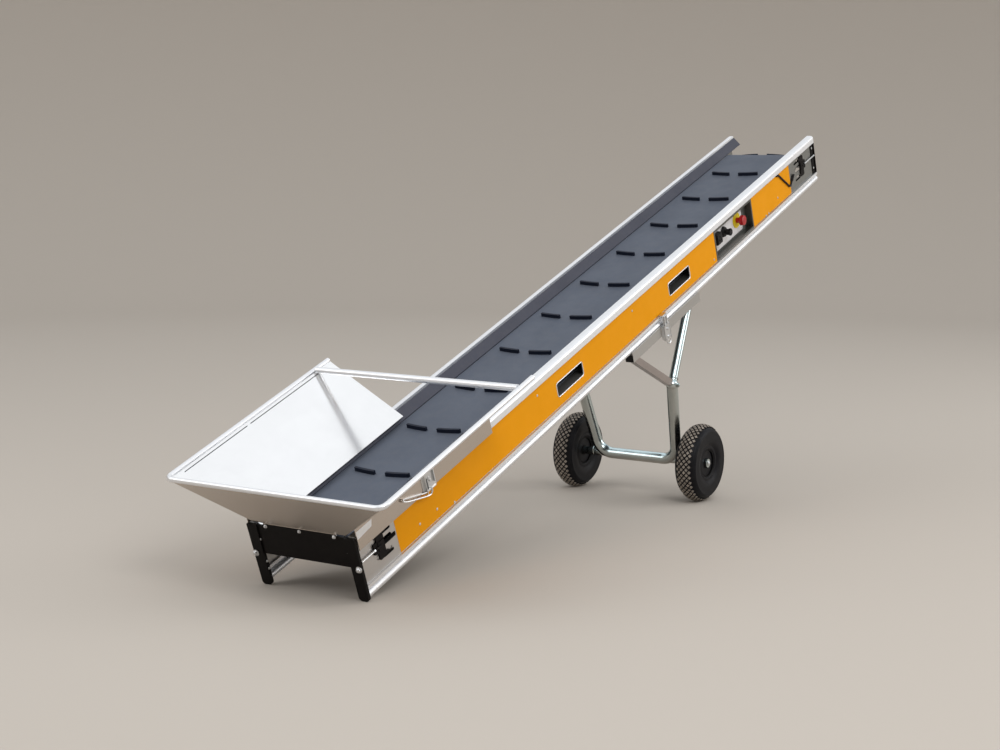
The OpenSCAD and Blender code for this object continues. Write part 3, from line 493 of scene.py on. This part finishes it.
# %% Dress the solids
DRESS = {
    "side_frame": profile_metal, "slide_channel": channel_metal, "return_guides": profile_metal,
    "control_box": tray_metal, "hopper": hopper_sheet, "hopper_rim": bright_tube,
    "hopper_cross_tube": bright_tube, "hopper_latch": bright_zinc, "cross_tubes": bright_tube,
    "slider_bed": worn_steel, "head_drum": worn_steel, "tail_drum": worn_steel,
    "side_seal": seal_strip, "belt": belt_rubber, "head_bracket": black_coat,
    "tail_bracket": black_coat, "foot_plate": black_coat, "tail_cross_plate": black_coat,
    "head_plate": black_coat, "stop_plate": yellow_plastic, "stop_button": red_plastic,
    "start_switch": black_plastic, "power_inlet": black_plastic, "motor_cable": cable_rubber,
    "axle_frame": zinc_tube, "brace": brace_zinc, "clamp": bright_zinc, "tyre": tyre_rubber,
    "hub": hub_plastic,
}
for name, solid in frame["nodes"].items():
    key = max((k for k in DRESS if name.startswith(k)), key=len)
    solid.data.materials.clear()
    solid.data.materials.append(DRESS[key])
print("dressed", len(frame["nodes"]), "solids")

# %% [markdown]
# ## Making small pieces
# A conveyor's small parts are bent flats, turned studs and bent wire. Blender's own
# primitives could be placed one by one, but then a bolt is five objects. A little mesh
# builder makes prisms, turned shapes and tubes along a line, and joins them into one mesh.
# It works in the conveyor's axes, and side -1 mirrors a piece to the right-hand side.

# %% Mesh builder: flat parts
class FlatParts:
    """Collects points and faces; prisms and blocks in the conveyor's axes."""

    def __init__(self):
        self.points, self.faces = [], []

    def take(self, points, faces):
        start = len(self.points)
        self.points += [Vector(p) for p in points]
        self.faces += [[start + i for i in face] for face in faces]
        return self

    def prism(self, outline, low, high, way="v"):
        """An outline drawn out along u, v or w; the outline holds the other two, in order."""
        def point(a, b, c):
            return {"u": (c, a, b), "v": (a, c, b), "w": (a, b, c)}[way]
        n = len(outline)
        points = [point(a, b, low) for a, b in outline] + [point(a, b, high) for a, b in outline]
        faces = [[i, (i + 1) % n, n + (i + 1) % n, n + i] for i in range(n)]
        return self.take(points, faces + [list(range(n))[::-1], list(range(n, 2 * n))])

    def block(self, u, v, w):
        return self.prism([(u[0], w[0]), (u[1], w[0]), (u[1], w[1]), (u[0], w[1])], v[0], v[1])


# %% Mesh builder: round parts
class RoundParts(FlatParts):
    """Adds turned shapes, tubes and bolts."""

    def turned(self, at, axis, profile, sides=24):
        """Rings of (radius, height) round an axis that starts at a point."""
        axis = Vector(axis).normalized()
        helper = Vector((0, 0, 1)) if abs(axis.z) < 0.9 else Vector((1, 0, 0))
        first = axis.cross(helper).normalized()
        second = axis.cross(first)
        points, faces = [], []
        for r, h in profile:
            for k in range(sides):
                a = 2 * pi * k / sides
                points.append(Vector(at) + axis * h + (first * cos(a) + second * sin(a)) * r)
        for ring in range(len(profile) - 1):
            for k in range(sides):
                n = (k + 1) % sides
                faces.append([ring * sides + k, ring * sides + n,
                              (ring + 1) * sides + n, (ring + 1) * sides + k])
        last = (len(profile) - 1) * sides
        faces.append(list(range(sides))[::-1])
        faces.append(list(range(last, last + sides)))
        return self.take(points, faces)

    def tube(self, line, r, sides=12):
        """A round bar along a line of points, its ends closed."""
        line = [Vector(p) for p in line]
        points, faces, side = [], [], None
        for i, p in enumerate(line):
            way = (line[min(i + 1, len(line) - 1)] - line[max(i - 1, 0)]).normalized()
            if side is None:
                side = way.cross(Vector((0, 0, 1)) if abs(way.z) < 0.9 else Vector((1, 0, 0)))
            side = (side - way * side.dot(way)).normalized()
            other = way.cross(side)
            points += [p + (side * cos(a) + other * sin(a)) * r
                       for a in (2 * pi * k / sides for k in range(sides))]
        for i in range(len(line) - 1):
            for k in range(sides):
                n = (k + 1) % sides
                faces.append([i * sides + k, i * sides + n,
                              (i + 1) * sides + n, (i + 1) * sides + k])
        last = (len(line) - 1) * sides
        faces += [list(range(sides))[::-1], list(range(last, last + sides))]
        return self.take(points, faces)

    def bolt(self, at, axis, r=8, head=5, washer=True):
        """A hexagon head on its washer, with the end of the thread showing."""
        axis = Vector(axis).normalized()
        if washer:
            self.turned(at, axis, [(r * 1.35, 0), (r * 1.35, 1.4), (r * 1.2, 1.8)], 20)
        base = Vector(at) + axis * (1.6 if washer else 0)
        self.turned(base, axis, [(r, 0), (r, head * 0.85), (r * 0.86, head)], 6)
        thread = [(r * 0.5, 0), (r * 0.5, 1.6), (r * 0.36, 2.2)]
        return self.turned(base + axis * head * 0.9, axis, thread, 14)


# %% Mesh builder: the finished piece
SMOOTH_BELOW = radians(32)


def new_piece(name, mesh, material):
    mesh.materials.append(material)
    piece = bpy.data.objects.new(name, mesh)
    bpy.context.scene.collection.objects.link(piece)
    return piece


def face_outwards(mesh):
    work = bmesh.new()
    work.from_mesh(mesh)
    bmesh.ops.recalc_face_normals(work, faces=work.faces)
    work.to_mesh(mesh)
    work.free()


class Maker(RoundParts):
    """The whole builder: collects the parts of a piece and makes it."""

    def done(self, name, material, body, slot, side=1, bevel=0.0):
        mesh = bpy.data.meshes.new(name)
        points = [TO_ROOM @ Vector((p.x, p.y * side, p.z)) for p in self.points]
        mesh.from_pydata(points, [], [f[::-1] if side < 0 else f for f in self.faces])
        mesh.validate()
        piece = new_piece(name, mesh, material)
        face_outwards(mesh)
        if bevel:
            edge = piece.modifiers.new("edge", "BEVEL")
            edge.width, edge.segments, edge.limit_method = bevel / 1000, 2, "ANGLE"
        mesh.shade_smooth()
        mesh.set_sharp_from_angle(angle=SMOOTH_BELOW)
        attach(piece, body)
        return piece


# %% Both sides, and outlines with round corners
def both_sides(build, name, material, body, slot, **how):
    """The same piece on both sides; build fills a Maker for the left side."""
    for side, word in ((1, "left"), (-1, "right")):
        work = Maker()
        build(work)
        work.done(f"{name}_{word}", material, body, slot, side=side, **how)


def arc(centre, r, start, end, steps):
    return [(centre[0] + r * cos(radians(start + (end - start) * i / steps)),
             centre[1] + r * sin(radians(start + (end - start) * i / steps)))
            for i in range(steps + 1)]


def rounded(u0, u1, w0, w1, r, steps=6):
    return (arc((u1 - r, w0 + r), r, -90, 0, steps) + arc((u1 - r, w1 - r), r, 0, 90, steps)
            + arc((u0 + r, w1 - r), r, 90, 180, steps) + arc((u0 + r, w0 + r), r, 180, 270, steps))


# %% [markdown]
# ## The yellow film
# The film covers the web between the rails and is cut out round the hand holes and, on the
# right, round the control box. It is a thin sheet of geometry, not paint, so that its edges
# are crisp and the export keeps them. A face with holes is awkward to write by hand, so the
# film is filled from its outlines with Blender's own triangle fill.

# %% Outlines of the film
FILM_U, FILM_W, FILM_T = (177, 3045), (LEDGE_TOP + 1.5, TOP_RAIL_Z - 1), 0.35
FILM_V, HOLE_GAP = WEB_OUT + 0.05, 3
HAND_HOLES = [(1107, 1279), (1925, 2097)]
HOLE_W, HOLE_R = (75, 123), 9
CONTROL_CUT_U, CONTROL_CUT_W = (2323, 2670), (45, 166)


def hole_outline(u0, u1, out):
    """A hand hole's outline, grown by a margin."""
    return rounded(u0 - out, u1 + out, HOLE_W[0] - out, HOLE_W[1] + out, HOLE_R + out)


def square(u, w):
    return [(u[0], w[0]), (u[1], w[0]), (u[1], w[1]), (u[0], w[1])]


# %% Cut and lay the film
def film(side, word):
    loops = [square(FILM_U, FILM_W)] + [hole_outline(*hole, HOLE_GAP) for hole in HAND_HOLES]
    if side < 0:
        loops.append(square(CONTROL_CUT_U, CONTROL_CUT_W))
    work = bmesh.new()
    edges = []
    for loop in loops:
        corners = [work.verts.new(room(u, side * FILM_V, w)) for u, w in loop]
        edges += [work.edges.new((corners[i - 1], corners[i])) for i in range(len(corners))]
    bmesh.ops.triangle_fill(work, edges=edges, use_beauty=True, use_dissolve=False,
                            normal=Vector((0, side, 0)))
    sheet = bmesh.ops.extrude_face_region(work, geom=work.faces[:])
    lifted = [part for part in sheet["geom"] if isinstance(part, bmesh.types.BMVert)]
    bmesh.ops.translate(work, verts=lifted, vec=Vector((0, side * FILM_T / 1000, 0)))
    bmesh.ops.recalc_face_normals(work, faces=work.faces)
    mesh = bpy.data.meshes.new(f"yellow_film_{word}")
    work.to_mesh(mesh)
    work.free()
    piece = new_piece(mesh.name, mesh, yellow_film)
    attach(piece, "conveyor")
    print(piece.name, len(mesh.polygons), "faces")


film(-1, "right")
film(1, "left")

# %% [markdown]
# ## Hand holes
# Each hole has a smooth pressed rim, so that the sheet's edge doesn't cut the hands. A
# bevel on the web can't reach out past the film, so the rim is a thin round bar that
# follows the same outline as the hole. Its bright line is what shows the hole from afar.

# %% Rims of the hand holes
def hand_hole_rims(work):
    for hole in HAND_HOLES:
        outline = [(u, WEB_OUT + 0.2, w) for u, w in hole_outline(*hole, 0.5)]
        work.tube(outline + outline[:2], 1.9, 8)


both_sides(hand_hole_rims, "hand_hole_rims", bright_tube, "conveyor", "profile")

# %% [markdown]
# ## Screws and rivets
# Bolts hold the foot plates, the cross plate, the hopper flange and the brackets. The web
# has small rivets where the bed and the guides are fixed behind it. A bump in the material
# would give a dot, but no bright edge and no shadow, so each head is a small turned shape.

# %% Bolts at the tail
FOOT_FACE, FLANGE_FACE, STUD_V = -10, -7.4, 158.9
STUD_HEAD = [(4.2, 0), (4.2, 1.0), (3.0, 2.4)]


def tail_bolts(work):
    work.bolt((FOOT_FACE, 187, 100.5), (-1, 0, 0), 7.5, 6)
    for w in (147, 73, 49):
        work.turned((-5, STUD_V, w), (0, -1, 0), STUD_HEAD, 14)
    work.bolt((FLANGE_FACE, 124, 196), (-1, 0, 0), 4.5, 3.4)


both_sides(tail_bolts, "tail_bolts", bright_zinc, "conveyor", "zinc")
middle_bolt = Maker().bolt((FLANGE_FACE, 0, 196), (-1, 0, 0), 4.2, 3)
middle_bolt.done("tail_middle_bolt", bright_zinc, "conveyor", "zinc")

# %% Rivets in the web, and the bolts of the head plates
RIVETS = ((286, 75), (377, 73), (464, 47), (990, 140), (1650, 140), (2300, 60), (2786, 46),
          (2812, 46), (2911, 74))
RIVET_HEAD = [(4.2, 0), (4.2, 0.8), (2.6, 2.0)]
HEAD_PLATE_V, HEAD_BOLTS = 190, ((3281, 152), (3281, 66))
HEAD_BOLT = [(4.6, 0), (4.6, 1.2), (3.0, 2.6)]


def web_rivets(work):
    for u, w in RIVETS:
        work.turned((u, WEB_OUT + 0.2, w), (0, 1, 0), RIVET_HEAD, 14)
    for u, w in HEAD_BOLTS:
        work.turned((u, HEAD_PLATE_V, w), (0, 1, 0), HEAD_BOLT, 14)


both_sides(web_rivets, "web_rivets", bright_zinc, "conveyor", "zinc")
print("rivets and bolts on each side:", len(RIVETS) + len(HEAD_BOLTS))

# %% [markdown]
# ## The take-ups
# Both drums are pulled tight by a long bolt on each side. The bolts are bright, with a nut
# where they pass the bracket, and the slots beside them show dark with shade. Real slots
# would have to be cut through the solid web. Nothing is seen through them, so thin dark
# tongues on the web paint the shadow in the slots instead.

# %% Bolts, nuts and painted slot shadows of the take-ups
BOLT_V, BOLT_W = 193.3, 118
BOLT_RUNS, NUTS_AT = ((1.0, 66), (3190, 3292)), (60, 3186)
NUT = [(5.2, 0), (5.2, 5), (4.6, 6)]
SLOTS = ((102, 156, 141, 150), (104, 152, 71, 80), (110, 173, 106, 120),
         (3098, 3150, 142, 150), (3100, 3150, 72, 79))


def bolt_sleeves(work):
    for start, end in BOLT_RUNS:
        work.tube([(start, BOLT_V, BOLT_W), (end, BOLT_V, BOLT_W)], 3.3, 14)
    for u in NUTS_AT:
        work.turned((u, BOLT_V, BOLT_W), (1, 0, 0), NUT, 6)


# Thin dark tongues that paint the shadow inside each slot.
def painted_slot_shadows(work):
    for u0, u1, w0, w1 in SLOTS:
        work.prism(rounded(u0, u1, w0, w1, 3.8), WEB_OUT + 0.02, WEB_OUT + 0.35)


both_sides(bolt_sleeves, "bolt_sleeves", bright_zinc, "conveyor", "zinc")
both_sides(painted_slot_shadows, "painted_slot_shadows", painted_slot_shade, "conveyor", "black_steel")

# %% [markdown]
# ## The painted shade strip in front of the cross plate
# Below the hopper's front panel the flange lies in shade. A thin black strip laid over its
# face paints that shade. Only the panel's edge shows above it, as a bright line, and three
# bolts hold the two together. A small bright gusset closes the corner between the panel and
# each side. Both are plain flats, drawn as prisms.

# %% Painted shade strip and gusset
STRIP_U, STRIP_V, STRIP_W = (FLANGE_FACE - 0.6, FLANGE_FACE - 0.02), (-131.5, 131.5), (186.2, 203.2)
# Painted shade: a thin black strip over the flange's face.
strip = Maker().block(STRIP_U, STRIP_V, STRIP_W)
strip.done("front_painted_shade_strip", black_coat, "conveyor", "black_steel", bevel=0.2)


def gusset(work):
    work.prism([(1, 214), (2, 190), (70, 196), (77, 215)], 198.02, 198.5)


both_sides(gusset, "skirt_gusset", bright_tube, "conveyor", "sheet_polished")

# %% [markdown]
# ## The hopper's folds
# The hopper's panels are folded over at the top. Just below the rim the fold leaves a slit,
# seen as a thin dark line of shade that stops short of the corners. The solid panels could
# be cut, but a dark line is all that shows. So the slit's shadow is painted: a narrow dark
# strip on the inner face, turned so that it lies flat on its panel.

# %% Painted shadows of the slits below the rim
RIM_V, RIM_W, LIP_V, LIP_W = 385, 361, 134, 182
SLIT_RUNS, SLIT_DOWN, SLIT_WIDE, SLIT_THICK = ((-20, 268), (284, 640)), 17, 2.2, 0.5
slope = atan2(RIM_W - LIP_W, RIM_V - LIP_V)


# Each slit is a painted shadow: a thin dark strip on the panel's inner face.
def hem_slit_shadows(work):
    inward = Vector((0, -sin(slope), cos(slope)))
    down = Vector((0, -cos(slope), -sin(slope)))
    for u0, u1 in SLIT_RUNS:
        top = Vector((0, RIM_V, RIM_W)) + down * SLIT_DOWN + inward * 1.3
        low = top + down * SLIT_WIDE
        corners = [top, low, low + inward * SLIT_THICK, top + inward * SLIT_THICK]
        work.prism([(c.y, c.z) for c in corners], u0, u1, "u")


both_sides(hem_slit_shadows, "hem_slit_shadows", slit_shadow, "conveyor", "sheet_polished")
print(f"hopper panels lean at {slope * 180 / pi:.1f} degrees")

# %% [markdown]
# ## The toggle latch on the hopper's skirt
# The CAD gives the latch as plain flats. Here it gets its real build: a base plate with two
# folded edges, a hook plate, the tongue it pulls on, and a handle of bent wire. The wire
# could be a curve object, but a tube of faces exports as it is. It is drawn through a few
# points, with a smooth line between them. The piece stands for the CAD's flats, which stay
# in the scene, hidden.

# %% A smooth line through a few points
def smooth_line(points, steps=6):
    """A Catmull-Rom line through points."""
    points = [Vector(p) for p in points]
    ends = [points[0] * 2 - points[1]] + points + [points[-1] * 2 - points[-2]]
    line = []
    for a, b, c, d in zip(ends, ends[1:], ends[2:], ends[3:]):
        for k in range(steps):
            t = k / steps
            line.append(0.5 * (2 * b + (c - a) * t + (2 * a - 5 * b + 4 * c - d) * t * t
                               + (3 * b - a - 3 * c + d) * t ** 3))
    return line + [points[-1]]


# %% Latch
SKIRT_V = 198
LATCH_WIRE = [(352, 8.4, 164), (351, 9.0, 153), (340, 9.2, 146.5), (322, 9.2, 150),
              (282, 9.0, 164), (242, 8.6, 178), (224, 8.0, 186), (217, 7.0, 191),
              (219, 5.6, 195), (228, 4.6, 193), (246, 4.2, 187), (284, 4.2, 174),
              (318, 4.4, 161), (333, 5.0, 158)]


def latch(work):
    v = SKIRT_V
    work.prism(rounded(320, 386, 152, 228, 4), v + 0.02, v + 1.8)
    for u, w0, w1 in ((330, 148, 214), (373, 172, 227)):
        work.prism(rounded(u, u + 3.4, w0, w1, 1.5, 3), v + 1.8, v + 9)
    work.prism(rounded(340, 367, 194, 222, 3), v + 1.8, v + 4.5)
    work.prism(rounded(343, 364, 154, 196, 9), v + 4.5, v + 6.3)
    work.turned((353.5, v + 6.3, 186), (0, 1, 0), [(4.2, 0), (4.2, 2.6), (3.2, 3.6)], 18)
    work.tube([(332, v + 5.6, 160), (375, v + 5.6, 160)], 3.2, 12)
    work.tube(smooth_line([(u, v + out, w) for u, out, w in LATCH_WIRE], 4), 2.7, 10)


for side, word in ((1, "left"), (-1, "right")):
    work = Maker()
    latch(work)
    piece = work.done(f"toggle_latch_{word}", bright_zinc, "conveyor", "zinc", side=side, bevel=0.3)
    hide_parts(f"hopper_latch_{word}")
print("latch", len(piece.data.polygons), "faces")

# %% [markdown]
# ## Switches in the control box
# A pale plate lies on the box's back, and the switches stand on it. The solids have their
# main forms. Added here is what makes them look moulded: the start switch's stepped bezel
# and the ribs round its knob, a crown on the stop button, and a rim and three pins for the
# inlet. Four small screws hold the plate. All are turned shapes, except for the flat rim.

# %% The plate
CONTROL_BACK = 165
PLATE_TOP = CONTROL_BACK + 1.1
plate = Maker().prism(rounded(2342, 2612, 62, 146, 5), CONTROL_BACK + 0.05, PLATE_TOP)
plate.done("switch_plate", white_plastic, "conveyor", "sheet_polished", side=-1, bevel=0.3)

# %% Start switch and stop button
START_AT, KNOB_R, KNOB_RIBS = (2443, 115), 12.6, 12
switch = Maker()
switch.turned((START_AT[0], PLATE_TOP, START_AT[1]), (0, 1, 0),
              [(21, 0), (21, 2.5), (18.5, 5.5), (18.5, 9), (17, 10)], 32)
for k in range(KNOB_RIBS):
    a = 2 * pi * k / KNOB_RIBS
    middle = (START_AT[0] + KNOB_R * cos(a), CONTROL_BACK + 34, START_AT[1] + KNOB_R * sin(a))
    switch.turned(middle, (0, 1, 0), [(1.5, -6), (1.8, -4), (1.8, 0), (0.8, 1.4)], 8)
switch.done("switch_bezel", black_plastic, "conveyor", "black_plastic", side=-1)
STOP_AT, STOP_FACE = (2563, 115), CONTROL_BACK + 35.9
button = Maker()
button.turned((STOP_AT[0], STOP_FACE, STOP_AT[1]), (0, 1, 0),
              [(19, 0), (18.4, 1.1), (14, 2.1), (2, 2.6)], 40)
button.done("button_crown", red_plastic, "conveyor", "red_plastic", side=-1)

# %% Rim and pins of the inlet
(u, w), v = (2376, 115), CONTROL_BACK + 19.1
INLET_HALF, RIM_T = 19, 2.2
rim = Maker()
rim.prism(rounded(u - INLET_HALF, u + INLET_HALF, w - INLET_HALF, w + INLET_HALF, 8), v, v + RIM_T)
for du, dw in ((0, 8), (-7, -5), (7, -5)):
    rim.turned((u + du, v + RIM_T, w + dw), (0, 1, 0), [(3.2, 0), (3.2, 2.4), (2.4, 3.2)], 12)
rim.done("inlet_rim", black_plastic, "conveyor", "black_plastic", side=-1, bevel=0.8)

# %% Screws of the plate
screws = Maker()
for u in (2349, 2605):
    for w in (69, 139):
        screws.turned((u, PLATE_TOP, w), (0, 1, 0), [(3.8, 0), (3.8, 1), (2.6, 2.2)], 14)
screws.done("control_screws", bright_zinc, "conveyor", "zinc", side=-1)

# %% [markdown]
# ## Undercarriage: welds, bolts and levers
# A weld shows as a thick uneven ring where tubes meet. It is a tube bent round the joint
# whose line wavers a little, which looks more like a bead than a smooth ring does. The
# clamps get their pins, cheeks and two bent wires. Black plugs close the channels' ends.

# %% Welds of the legs
KNEE = Vector((LEG_U, 196, -232))
CORNER = Vector((LEG_U, 163, AXLE_W))
STRUT_TOP = Vector((2048, 182, -29.4))


def weld_ring(work, at, way, r, bead=2.6, steps=40):
    way = way.normalized()
    first = way.cross(Vector((0, 1, 0.3))).normalized()
    second = way.cross(first)
    line = []
    for i in range(steps + 2):
        a = 2 * pi * i / steps
        ripple = 0.5 * sin(i * 2.4)
        out = (first * cos(a) + second * sin(a)) * (r + ripple * 0.4)
        line.append(at + out + way * ripple)
    work.tube(line, bead, 8)


def leg_welds(work):
    up = (STRUT_TOP - KNEE).normalized()
    weld_ring(work, KNEE + up * 24, up, 16.2)
    weld_ring(work, CORNER + Vector((0, 22, 4)), Vector((0, 1, 0)), 15)
    work.bolt((LEG_U - 1, KNEE.y + 23, KNEE.z), (0, 1, 0), 7, 5)


both_sides(leg_welds, "leg_welds", zinc_tube, "carriage", "zinc_tube")

# %% Clamps
CLAMP_FACE = 210.4
LEVER_WIRE = [(1822, 208, -50), (1821, 209, -58), (1825, 210, -65), (1833, 210.4, -67),
              (1841, 210, -65), (1845, 209, -58), (1844, 208, -50)]
HOOK_WIRE = [(1824, 208, 2), (1824, 208.4, 40), (1842, 208.4, 40), (1842, 208, 2)]


def clamp_parts(work):
    for w, r in ((-40, 5.5), (-10, 4.5)):
        work.turned((1833, CLAMP_FACE, w), (0, 1, 0), [(r, 0), (r, 2.6), (r - 1.4, 3.8)], 16)
    for u in (1811, 1852):
        work.block((u, u + 3), (202.4, 211), (-50, 2))
    work.tube(smooth_line(LEVER_WIRE, 4), 2.6, 10)
    work.tube(HOOK_WIRE, 2.2, 10)


both_sides(clamp_parts, "clamp_lever", bright_zinc, "carriage", "zinc")


# %% Plugs in the ends of the channels
def channel_plug(work):
    for u in (1586.5, 2125):
        work.block((u, u + 2.5), (167, 197), (-28, -1.5))


both_sides(channel_plug, "channel_plugs", black_plastic, "carriage", "black_plastic", bevel=0.4)

# %% [markdown]
# ## Tyres with a block tread
# A tyre is a turned carcass with rows of diamond blocks. Carving them out of one dense
# mesh would blur their edges. Here each block is its own small frustum, set on the
# carcass, and neighbouring rows are half a pitch apart so that they mesh like bricks.
# The piece stands for the CAD's plain tyre, which stays in the scene, hidden.

# %% The turned carcass
BEAD_R, HALF_TYRE = 52.3, 40.5
SHOULDER_FROM, SHOULDER_FALL, SHOULDER_LIFT = 38, 8, 3.2
WALL = [(66, -7), (74, -2.5), (80, -0.4), (84, 0.5), (94, 1.4), (104, 0.6)]
BEAD = [(BEAD_R, 26), (BEAD_R, 31), (56, 34)]
CARCASS_SIDES = 96


def on_section(lean, lift=0.0):
    """Radius and sideways place on the tyre's round section, leaning out by an angle."""
    reach = SECTION_R - LUG_H + lift
    return TYRE_R - SECTION_R + reach * cos(lean), reach * sin(lean)


def shoulder(a):
    """How far the carcass is lifted, so that its shoulders close up with the lugs."""
    return SHOULDER_LIFT * max(0, min(1, (abs(a) - SHOULDER_FROM) / SHOULDER_FALL))


def carcass(work, centre):
    crown = [on_section(radians(a), shoulder(a)) for a in range(-60, 61, 4)]
    half = BEAD + [(r, HALF_TYRE + y) for r, y in WALL]
    ring = [(r, -y) for r, y in half] + crown + half[::-1]
    work.turned(centre, (0, 1, 0), ring, CARCASS_SIDES)


# %% The rows of blocks
LUGS_ROUND, LUG_ROWS, ROW_LEAN = 42, 6, radians(11.2)
LUG_FOOT, LUG_FACE = (1.0, -0.8), (0.78, LUG_H - 0.15)
BOX_SIDES = [[i, (i + 1) % 4, 4 + (i + 1) % 4, 4 + i] for i in range(4)]


def lug(work, centre, a, lean, step):
    """One diamond block: a wide foot in the carcass and a smaller face."""
    points = []
    for share, lift in (LUG_FOOT, LUG_FACE):
        for da, dl in ((-1, 0), (0, -1), (1, 0), (0, 1)):
            r, y = on_section(lean + dl * ROW_LEAN * 0.80 * share, lift)
            angle = a + da * step * 0.40 * share
            points.append(centre + Vector((r * cos(angle), y, r * sin(angle))))
    work.take(points, [[0, 1, 2, 3], [4, 5, 6, 7]] + BOX_SIDES)


def tread(work, centre):
    step = 2 * pi / LUGS_ROUND
    for row in range(LUG_ROWS):
        lean = (row - (LUG_ROWS - 1) / 2) * ROW_LEAN
        for k in range(LUGS_ROUND):
            lug(work, centre, (k + 0.5 * (row % 2)) * step, lean, step)


# %% Both tyres
HUB_AT = Vector((LEG_U, WHEEL_V, AXLE_W))
for side, word in ((1, "left"), (-1, "right")):
    work = Maker()
    carcass(work, HUB_AT)
    tread(work, HUB_AT)
    piece = work.done(f"block_tyre_{word}", tyre_rubber, f"wheel_{word}", "tyre", side=side)
    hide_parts(f"tyre_{word}")
print("tyre", len(piece.data.polygons), "faces")

# %% [markdown]
# ## Hubs
# The moulded hub has a stepped face with ribs, and the axle ends in a zinc bolt. The ribs
# are thin wedges that start high at the sleeve and run out towards the rim. They turn with
# the wheel. The bolt sits on the axle, so it belongs to the undercarriage and stands still.

# %% Hub details
HUB_RIBS, RIB_HALF = 8, 2.2
RIB_PROFILE = ((19.5, 16), (47, 8), (47, 4.2), (19.5, 4.2))


def hub_ribs(work):
    for k in range(HUB_RIBS):
        a = 2 * pi * k / HUB_RIBS
        out, across_rib = Vector((cos(a), 0, sin(a))), Vector((-sin(a), 0, cos(a)))
        points = [HUB_AT + out * r + across_rib * shift + Vector((0, h, 0))
                  for shift in (-RIB_HALF, RIB_HALF) for r, h in RIB_PROFILE]
        work.take(points, [[3, 2, 1, 0], [4, 5, 6, 7]] + BOX_SIDES)


def axle_end(work):
    head, thread = HUB_AT + Vector((0, 34.4, 0)), HUB_AT + Vector((0, 38, 0))
    work.turned(head, (0, 1, 0), [(9, 0), (9, 2.5), (7.6, 3.6)], 6)
    work.turned(thread, (0, 1, 0), [(4.6, 0), (4.6, 1.8), (3.4, 2.6)], 16)


for side, word in ((1, "left"), (-1, "right")):
    work = Maker()
    hub_ribs(work)
    work.done(f"hub_ribs_{word}", hub_plastic, f"wheel_{word}", "black_plastic", side=side,
              bevel=0.5)
both_sides(axle_end, "axle_bolt", bright_zinc, "carriage", "zinc")

# %% [markdown]
# ## The studio
# Bright metal shows what surrounds it, so the surroundings are chosen first. Outdoors such
# a machine stands on warm ground under a white sky. A flat floor would end in a hard
# horizon. Here a warm grey floor curves up all round into a low wall, like a bowl, so that
# no view meets an edge. The world is white above and warm and dim towards the ground. That
# alone puts a bright line on every rail and tube, and a soft warm tone on what faces down.
# Three large round lamps add soft shadows and lift the yellow side.

# %% The floor, curved up all round
FLOOR_R, CURVE_R, WALL_TOP, FLOOR_SIDES, CURVE_STEPS = 9.0, 4.0, 6.0, 96, 20
bowl = [(FLOOR_R / 2, 0.0)]
for k in range(CURVE_STEPS + 1):
    a = pi / 2 * k / CURVE_STEPS
    bowl.append((FLOOR_R + CURVE_R * sin(a), CURVE_R * (1 - cos(a))))
bowl.append((FLOOR_R + CURVE_R, WALL_TOP))
points = [(r * cos(2 * pi * k / FLOOR_SIDES), r * sin(2 * pi * k / FLOOR_SIDES), z)
          for r, z in bowl for k in range(FLOOR_SIDES)]
faces = []
for ring in range(len(bowl) - 1):
    here, beyond = ring * FLOOR_SIDES, (ring + 1) * FLOOR_SIDES
    for k in range(FLOOR_SIDES):
        n = (k + 1) % FLOOR_SIDES
        faces.append((here + k, beyond + k, beyond + n, here + n))
faces.append(tuple(range(FLOOR_SIDES)))
floor_paint, tree, shader = finish_shader("floor_paint", Roughness=0.9, Specular_IOR_Level=0.1)
shader.inputs["Base Color"].default_value = (0.50, 0.455, 0.405, 1)
floor_mesh = bpy.data.meshes.new("studio_floor")
floor_mesh.from_pydata(points, [], faces)
floor_mesh.shade_smooth()
new_piece("studio_floor", floor_mesh, floor_paint)

# %% The world
SKY, GROUND = (0.96, 0.98, 1.0, 1), (0.42, 0.36, 0.305, 1)
world = bpy.data.worlds.new("studio_world")
bpy.context.scene.world = world
world.use_nodes = True
tree = world.node_tree
background = tree.nodes["Background"]
view_way = add(tree, "ShaderNodeTexCoord").outputs["Generated"]
tilt = add(tree, "ShaderNodeSeparateXYZ", {0: view_way}).outputs["Z"]
sky = blend_colour(tree, ramp(tree, tilt, 0.05, 0.35), GROUND, SKY)
tree.links.new(sky, background.inputs["Color"])
tree.links.new(ramp(tree, tilt, 0.2, 0.9, 0.75, 1.02), background.inputs["Strength"])


# %% Lamps
def lamp(name, at, target, size, power):
    data = bpy.data.lights.new(name, "AREA")
    data.shape, data.size, data.energy = "DISK", size, power
    made = bpy.data.objects.new(name, data)
    made.location = at
    made.rotation_euler = (Vector(target) - Vector(at)).to_track_quat("-Z", "Y").to_euler()
    bpy.context.scene.collection.objects.link(made)


lamp("key_lamp", (-3.2, -4.2, 4.6), (0, 0, 0.5), 3.2, 120)
lamp("fill_lamp", (-4.5, 3.0, 3.2), (-0.4, 0, 0.6), 3.5, 50)
lamp("right_lamp", (4.5, -5.5, 2.8), (0, 0, 0.5), 4.5, 130)
bpy.context.scene.view_settings.view_transform = "Standard"
print("lamps:", len(bpy.data.lights))
